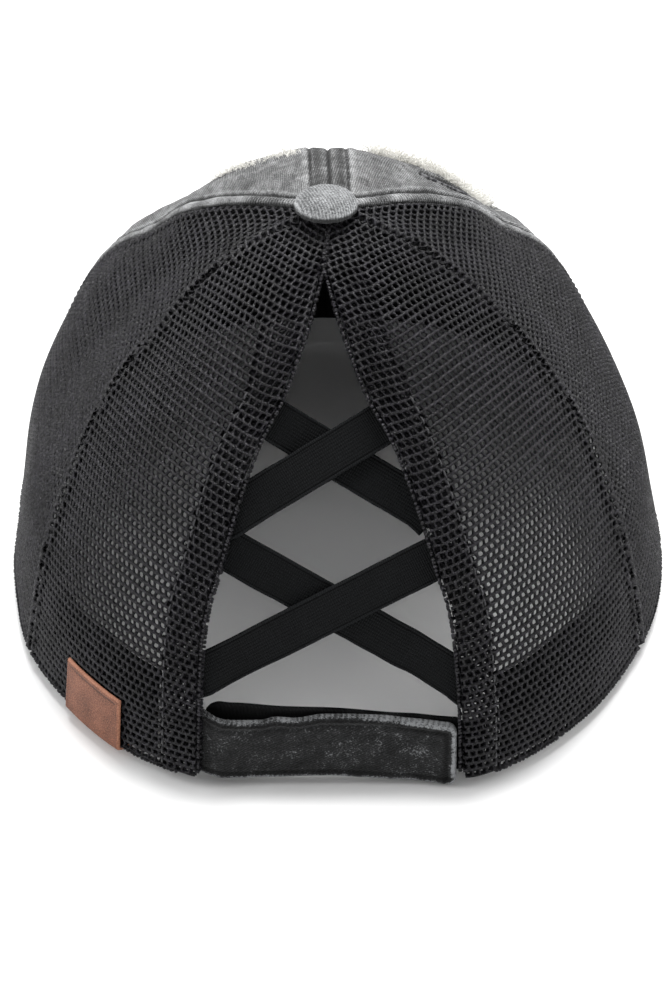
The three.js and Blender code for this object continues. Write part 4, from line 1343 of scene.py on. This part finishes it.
def outer_strap_piece():
    hem = float(opening_edge(0, -1))
    free_end = STRAP_FREE_END - STRAP_ROUNDING * (1 - np.sin(np.radians(np.linspace(90, 0, 12))))
    middle = np.linspace(STRAP_FREE_END - STRAP_ROUNDING, hem + STRAP_BEND, 130)[1:]
    bend = np.linspace(hem + STRAP_BEND, hem - 0.5, 26)[1:]
    tab = np.linspace(hem - 0.5, hem - STRAP_TAB_REACH, 8)[1:]
    x = np.concatenate([free_end, middle, bend, tab])
    share = np.clip((hem + STRAP_BEND - x) / STRAP_BEND, 0, 1)
    depth = STRAP_TAB_DEPTH * smooth_step(0.1, 1, share)
    into_corner = np.clip(x - STRAP_FREE_END + STRAP_ROUNDING, 0, STRAP_ROUNDING)
    cut = STRAP_ROUNDING - np.sqrt(np.clip(STRAP_ROUNDING ** 2 - into_corner ** 2, 0, None))
    narrow = smooth_step(hem - 1, hem - 3, x)
    bottom = strap_bottom(x) + cut + narrow * 1.5
    top = strap_top(x) - cut - narrow * 2.5
    rows = strap_rows(40)
    level = bottom[:, None] + (top - bottom)[:, None] * rows[None, :]
    from_top = top[:, None] - level
    from_bottom = level - bottom[:, None]
    edge = np.minimum(from_top, (STRAP_FREE_END - x)[:, None] * 1.02)
    near = np.minimum(edge, from_bottom)
    round_off = rounded(near, STRAP_EDGE_RADIUS)
    plain = strap_grid(x, bottom, top, rows, depth, np.zeros(level.shape))
    wrinkle = 0.2 * ripple(plain, 13, 31) + 0.1 * ripple(plain, 5, 32)
    pucker = np.sin(2 * np.pi * x / 3.1)[:, None] * bump_at(2.2, 1.6, edge)
    rope = np.sin(2 * np.pi * (x[:, None] + 0.8 * from_top) / STRAP_ROPE)
    lift = bumps(STRAP_TOP_RELIEF, edge) + bumps(STRAP_BOTTOM_RELIEF, from_bottom) + 0.08 * pucker
    lift = lift + wrinkle * smooth_step(1.5, 5, near) * (1 - narrow[:, None])
    lift = lift + 0.09 * rope * (1 - smooth_step(0.9, 1.4, from_top))
    half = STRAP_WALL / 2
    outer = strap_grid(x, bottom, top, rows, depth, -half + half * round_off + lift)
    inner = strap_grid(x, bottom, top, rows, depth, -half - half * round_off)
    toward_end = smooth_step(2, 26, x)[:, None]
    broad = 0.5 + 0.85 * toward_end
    light = (1 - smooth_step(0.7, 1.15, edge / broad)) * (0.75 + 0.45 * toward_end)
    light = (light + 0.9 * bump_at(0.75, 0.45, from_bottom)) * (1 + 0.3 * rope)
    # Painted shade darkens the grooves inside the top and bottom edges; the frayed edges are rubbed light.
    wear_and_shade = light - 0.7 * bump_at(2.0, 0.5, edge / broad) - 0.4 * bump_at(1.9, 0.5, from_bottom)
    wear_and_shade = wear_and_shade + 0.1 * ripple(plain, 5, 35) + 0.16 * toward_end * smooth_step(2.5, 4, near)
    flat = flat_cloth(x[:, None], level, 4 * round_off)
    return wall_piece(
        "outer_strap_cloth", outer, inner, STRAP_TWILL, "dark_twill", "outer_strap", flat, wear_and_shade,
    )


def inner_strap_piece():
    hem = float(opening_edge(0, 1))
    x = np.linspace(hem + STRAP_TAB_REACH, INNER_TOP["across"][0], 140)
    depth = STRAP_TAB_DEPTH + inner_dip(x)
    covered = smooth_step(hem - 1.5, hem + 0.5, x)
    bottom = np.full(len(x), float(INNER_BOTTOM))
    top = inner_top(x) * (1 - covered) + INNER_COVERED_TOP * covered
    rows = strap_rows(26)
    level = bottom[:, None] + (top - bottom)[:, None] * rows[None, :]
    near = np.minimum(top[:, None] - level, level - bottom[:, None])
    half = INNER_WALL / 2
    round_off = rounded(near, 0.6)
    plain = strap_grid(x, bottom, top, rows, depth, np.zeros(level.shape))
    lift = -0.15 * bump_at(2.0, 0.4, near) + 0.1 * ripple(plain, 7, 41)
    outer = strap_grid(x, bottom, top, rows, depth, -half + half * round_off + lift)
    inner = strap_grid(x, bottom, top, rows, depth, -half - half * round_off)
    wear_and_shade = 0.5 * (1 - smooth_step(0.2, 0.8, near))
    return wall_piece("inner_strap_cloth", outer, inner, TAPE, "black_tape", "inner_strap", None, wear_and_shade)


outer_strap_piece()
inner_strap_piece()


# Elastic bands.
def there_and_back(there, back):
    """Values round a closed section, out along one face and home along the other."""
    return np.concatenate([there, back[-2:0:-1]])


def band_piece(name, left, right, left_layer, layer, right_layer):
    """A flat elastic band from the right hem to the left, tucked under both hems."""
    from_way, to_way = right * OPENING_END, left * OPENING_END
    from_x, to_x = float(opening_edge(from_way, 1)), float(opening_edge(to_way, -1))
    slope = (to_way - from_way) / (to_x - from_x)

    def on_hem(x, layers):
        way = from_way + slope * (x - from_x)
        turn = back_turn_at(x, way)
        depth = BAND_UNDER + layers * BAND_DEEPER + 0 * way
        return cloth_point(turn, way, depth), crown_normal(turn, way)

    tuck = np.linspace(BAND_TUCK, 0, 7)[:-1]
    share = np.linspace(0, 1, 61)
    first, _ = on_hem(np.array([from_x]), right_layer)
    last, _ = on_hem(np.array([to_x]), left_layer)
    _, normal = on_hem(from_x + (to_x - from_x) * share, 0)
    ends = right_layer + (left_layer - right_layer) * share
    sink = (layer - ends) * BAND_DEEPER * smooth_step(0, 0.25, share) * (1 - smooth_step(0.75, 1, share))
    between = first + (last - first) * share[:, None] - normal * sink[:, None]
    start_points, start_normals = on_hem(from_x + tuck, right_layer)
    end_points, end_normals = on_hem(to_x - tuck[::-1], left_layer)
    centre = np.concatenate([start_points, between, end_points])
    normals = np.concatenate([start_normals, normal, end_normals])
    along = unit(np.gradient(centre, axis=0))
    up = unit(-np.cross(normals, along))
    out = -np.cross(along, up)

    place = np.linspace(-1, 1, 79)
    rib = np.abs(np.cos(np.pi * BAND_RIBS * place / 2)) ** 0.7
    round_off = rounded(1 - np.abs(place), 0.06)
    groove = bump_at(BAND_GROOVE, 0.025, np.abs(place))
    half = BAND_WALL / 2
    front = -half + half * round_off - 0.13 * (1 - rib) - 0.16 * groove
    rear = -half - half * round_off + 0.1 * (1 - rib)
    section_up = there_and_back(place, place) * BAND_WIDTH / 2
    section_out = there_and_back(front, rear)
    wave = 1 + 0.006 * ripple(centre, 8, 51)
    points = centre[:, None] + up[:, None] * (section_up[None, :] * wave[:, None])[..., None]
    points = points + out[:, None] * section_out[None, :, None]
    solid, faces = swept(points)
    edge = np.abs(there_and_back(place, place))
    # The band's edges are rubbed light; painted shade darkens the grooves by the edges and the troughs
    # between the ribs.
    worn = 0.3 * (edge > 0.87) - 0.6 * bump_at(BAND_GROOVE, 0.03, edge) + 0.15 * there_and_back(rib, rib)
    wear_and_shade = with_ends(np.tile(worn, len(centre)))
    flat = with_ends(flat_cloth(section_up[None, :], lengths_along(centre)[:, None], section_out[None, :]))
    return make_piece(name + "_cloth", solid, faces, ELASTIC, "elastic", (name,), flat, wear_and_shade)


for band_name, row in BANDS.items():
    band_piece(band_name, **row)


# Leather label folded round the rim.
def label_piece():
    """A strip of leather down the inside of the sweatband, round the rim and up the outside."""
    per_degree = float(mm_turn(np.array(LABEL_START_TURN + 0.5), np.array(0.0)))
    corner = np.linspace(0, 1, 8)
    across = np.concatenate([corner[:-1], np.linspace(1, LABEL_WIDTH - 1, 28), LABEL_WIDTH - corner[-2::-1]])
    behind = SWEATBAND_DEPTH + SWEATBAND_WALL + LABEL_GAP
    leg_in = np.linspace(LABEL_INNER_HEIGHT, LABEL_TURN_HEIGHT, 10)
    bend = np.radians(np.linspace(0, 180, 17)[1:-1])
    leg_out = np.linspace(LABEL_TURN_HEIGHT, LABEL_HEIGHT - 1.2, 22)
    leg_out = np.concatenate([leg_out, LABEL_HEIGHT - np.linspace(1.1, 0, 10)])
    inside, outside = np.ones(len(leg_in)), np.ones(len(leg_out))
    round_rim = (behind - LABEL_GAP) / 2 + (behind + LABEL_GAP) / 2 * np.cos(bend)
    near_depth = np.concatenate([behind * inside, round_rim, -LABEL_GAP * outside])
    near_height = np.concatenate([leg_in, LABEL_TURN_HEIGHT - 0.7 * np.sin(bend), leg_out])
    far_depth = near_depth + np.concatenate([inside, np.cos(bend), -outside]) * LABEL_WALL
    far_height = near_height - np.concatenate([0 * inside, np.sin(bend), 0 * outside]) * LABEL_WALL
    side = np.minimum(across, LABEL_WIDTH - across)
    top = np.concatenate([np.full(len(leg_in) + len(bend), 9.0), LABEL_HEIGHT - leg_out])
    edge = np.minimum(side[:, None], top[None, :])
    groove = bump_at(1.25, 0.18, edge)
    turns = np.broadcast_to((LABEL_START_TURN + across / per_degree)[:, None], edge.shape)

    def face(depth, height):
        return height_point(turns, np.broadcast_to(height, edge.shape), np.broadcast_to(depth, edge.shape))

    near = face(near_depth, near_height)
    full = rounded(edge, 0.5) * 0.75 + 0.25 - 0.16 * groove
    far = near + (face(far_depth, far_height) - near) * full[..., None]
    # The cut edges are rubbed light; painted shade darkens the pressed groove.
    wear_and_shade = 0.9 * (1 - smooth_step(0.15, 0.5, edge)) - 0.8 * groove
    down = lengths_along(np.stack([near_depth, near_height], axis=-1))
    flat = flat_cloth(across[:, None], down[None, :], 0.0)
    return wall_piece("label_leather", far, near, LEATHER, "leather", "label", flat, wear_and_shade)


label_piece()


# Camera, floor and light.
def aim(obj, place, target):
    direction = Vector(target) - Vector(place)
    obj.location = place
    obj.rotation_euler = direction.to_track_quat("-Z", "Y").to_euler()


def camera():
    data = bpy.data.cameras.new("camera")
    data.sensor_width = SENSOR
    data.lens = CAMERA_LENS
    data.clip_end = FAR_CLIP
    made = bpy.data.objects.new("camera", data)
    bpy.context.collection.objects.link(made)
    elevation, azimuth = math.radians(CAMERA_ELEVATION), math.radians(CAMERA_AZIMUTH)
    level = math.cos(elevation)
    forward = np.array([math.sin(azimuth) * level, math.cos(azimuth) * level, -math.sin(elevation)])
    target = np.array(CAMERA_TARGET)
    aim(made, tuple(to_frame(target - forward * CAMERA_DISTANCE)), tuple(to_frame(target)))
    bpy.context.scene.camera = made


def floor():
    mesh = bpy.data.meshes.new("floor")
    corners = [(-1, -1), (1, -1), (1, 1), (-1, 1)]
    points = [(FLOOR_HALF * x, FLOOR_HALF * y, FLOOR_LEVEL) for x, y in corners]
    mesh.from_pydata(points, [], [(0, 1, 2, 3)])
    made = bpy.data.objects.new("floor", mesh)
    bpy.context.collection.objects.link(made)
    paint, _, shader = new_material("floor", 0.9)
    shader.inputs["Base Color"].default_value = (FLOOR_TONE, FLOOR_TONE, FLOOR_TONE, 1)
    mesh.materials.append(paint)


def sun(name, place, power):
    """Wide, soft light from one side of the sky."""
    data = bpy.data.lights.new(name, "SUN")
    data.angle = math.radians(SUN_SPREAD)
    data.energy = power
    made = bpy.data.objects.new(name, data)
    bpy.context.collection.objects.link(made)
    aim(made, place, (0, 0, 0))


camera()
floor()
for sun_name, (sun_place, sun_power) in SUNS.items():
    sun(sun_name, sun_place, sun_power)
world = bpy.data.worlds.new("world")
world.use_nodes = True
background = world.node_tree.nodes["Background"]
background.inputs["Color"].default_value = (1, 1, 1, 1)
background.inputs["Strength"].default_value = WORLD_LIGHT
bpy.context.scene.world = world
bpy.context.scene.view_settings.view_transform = "Standard"
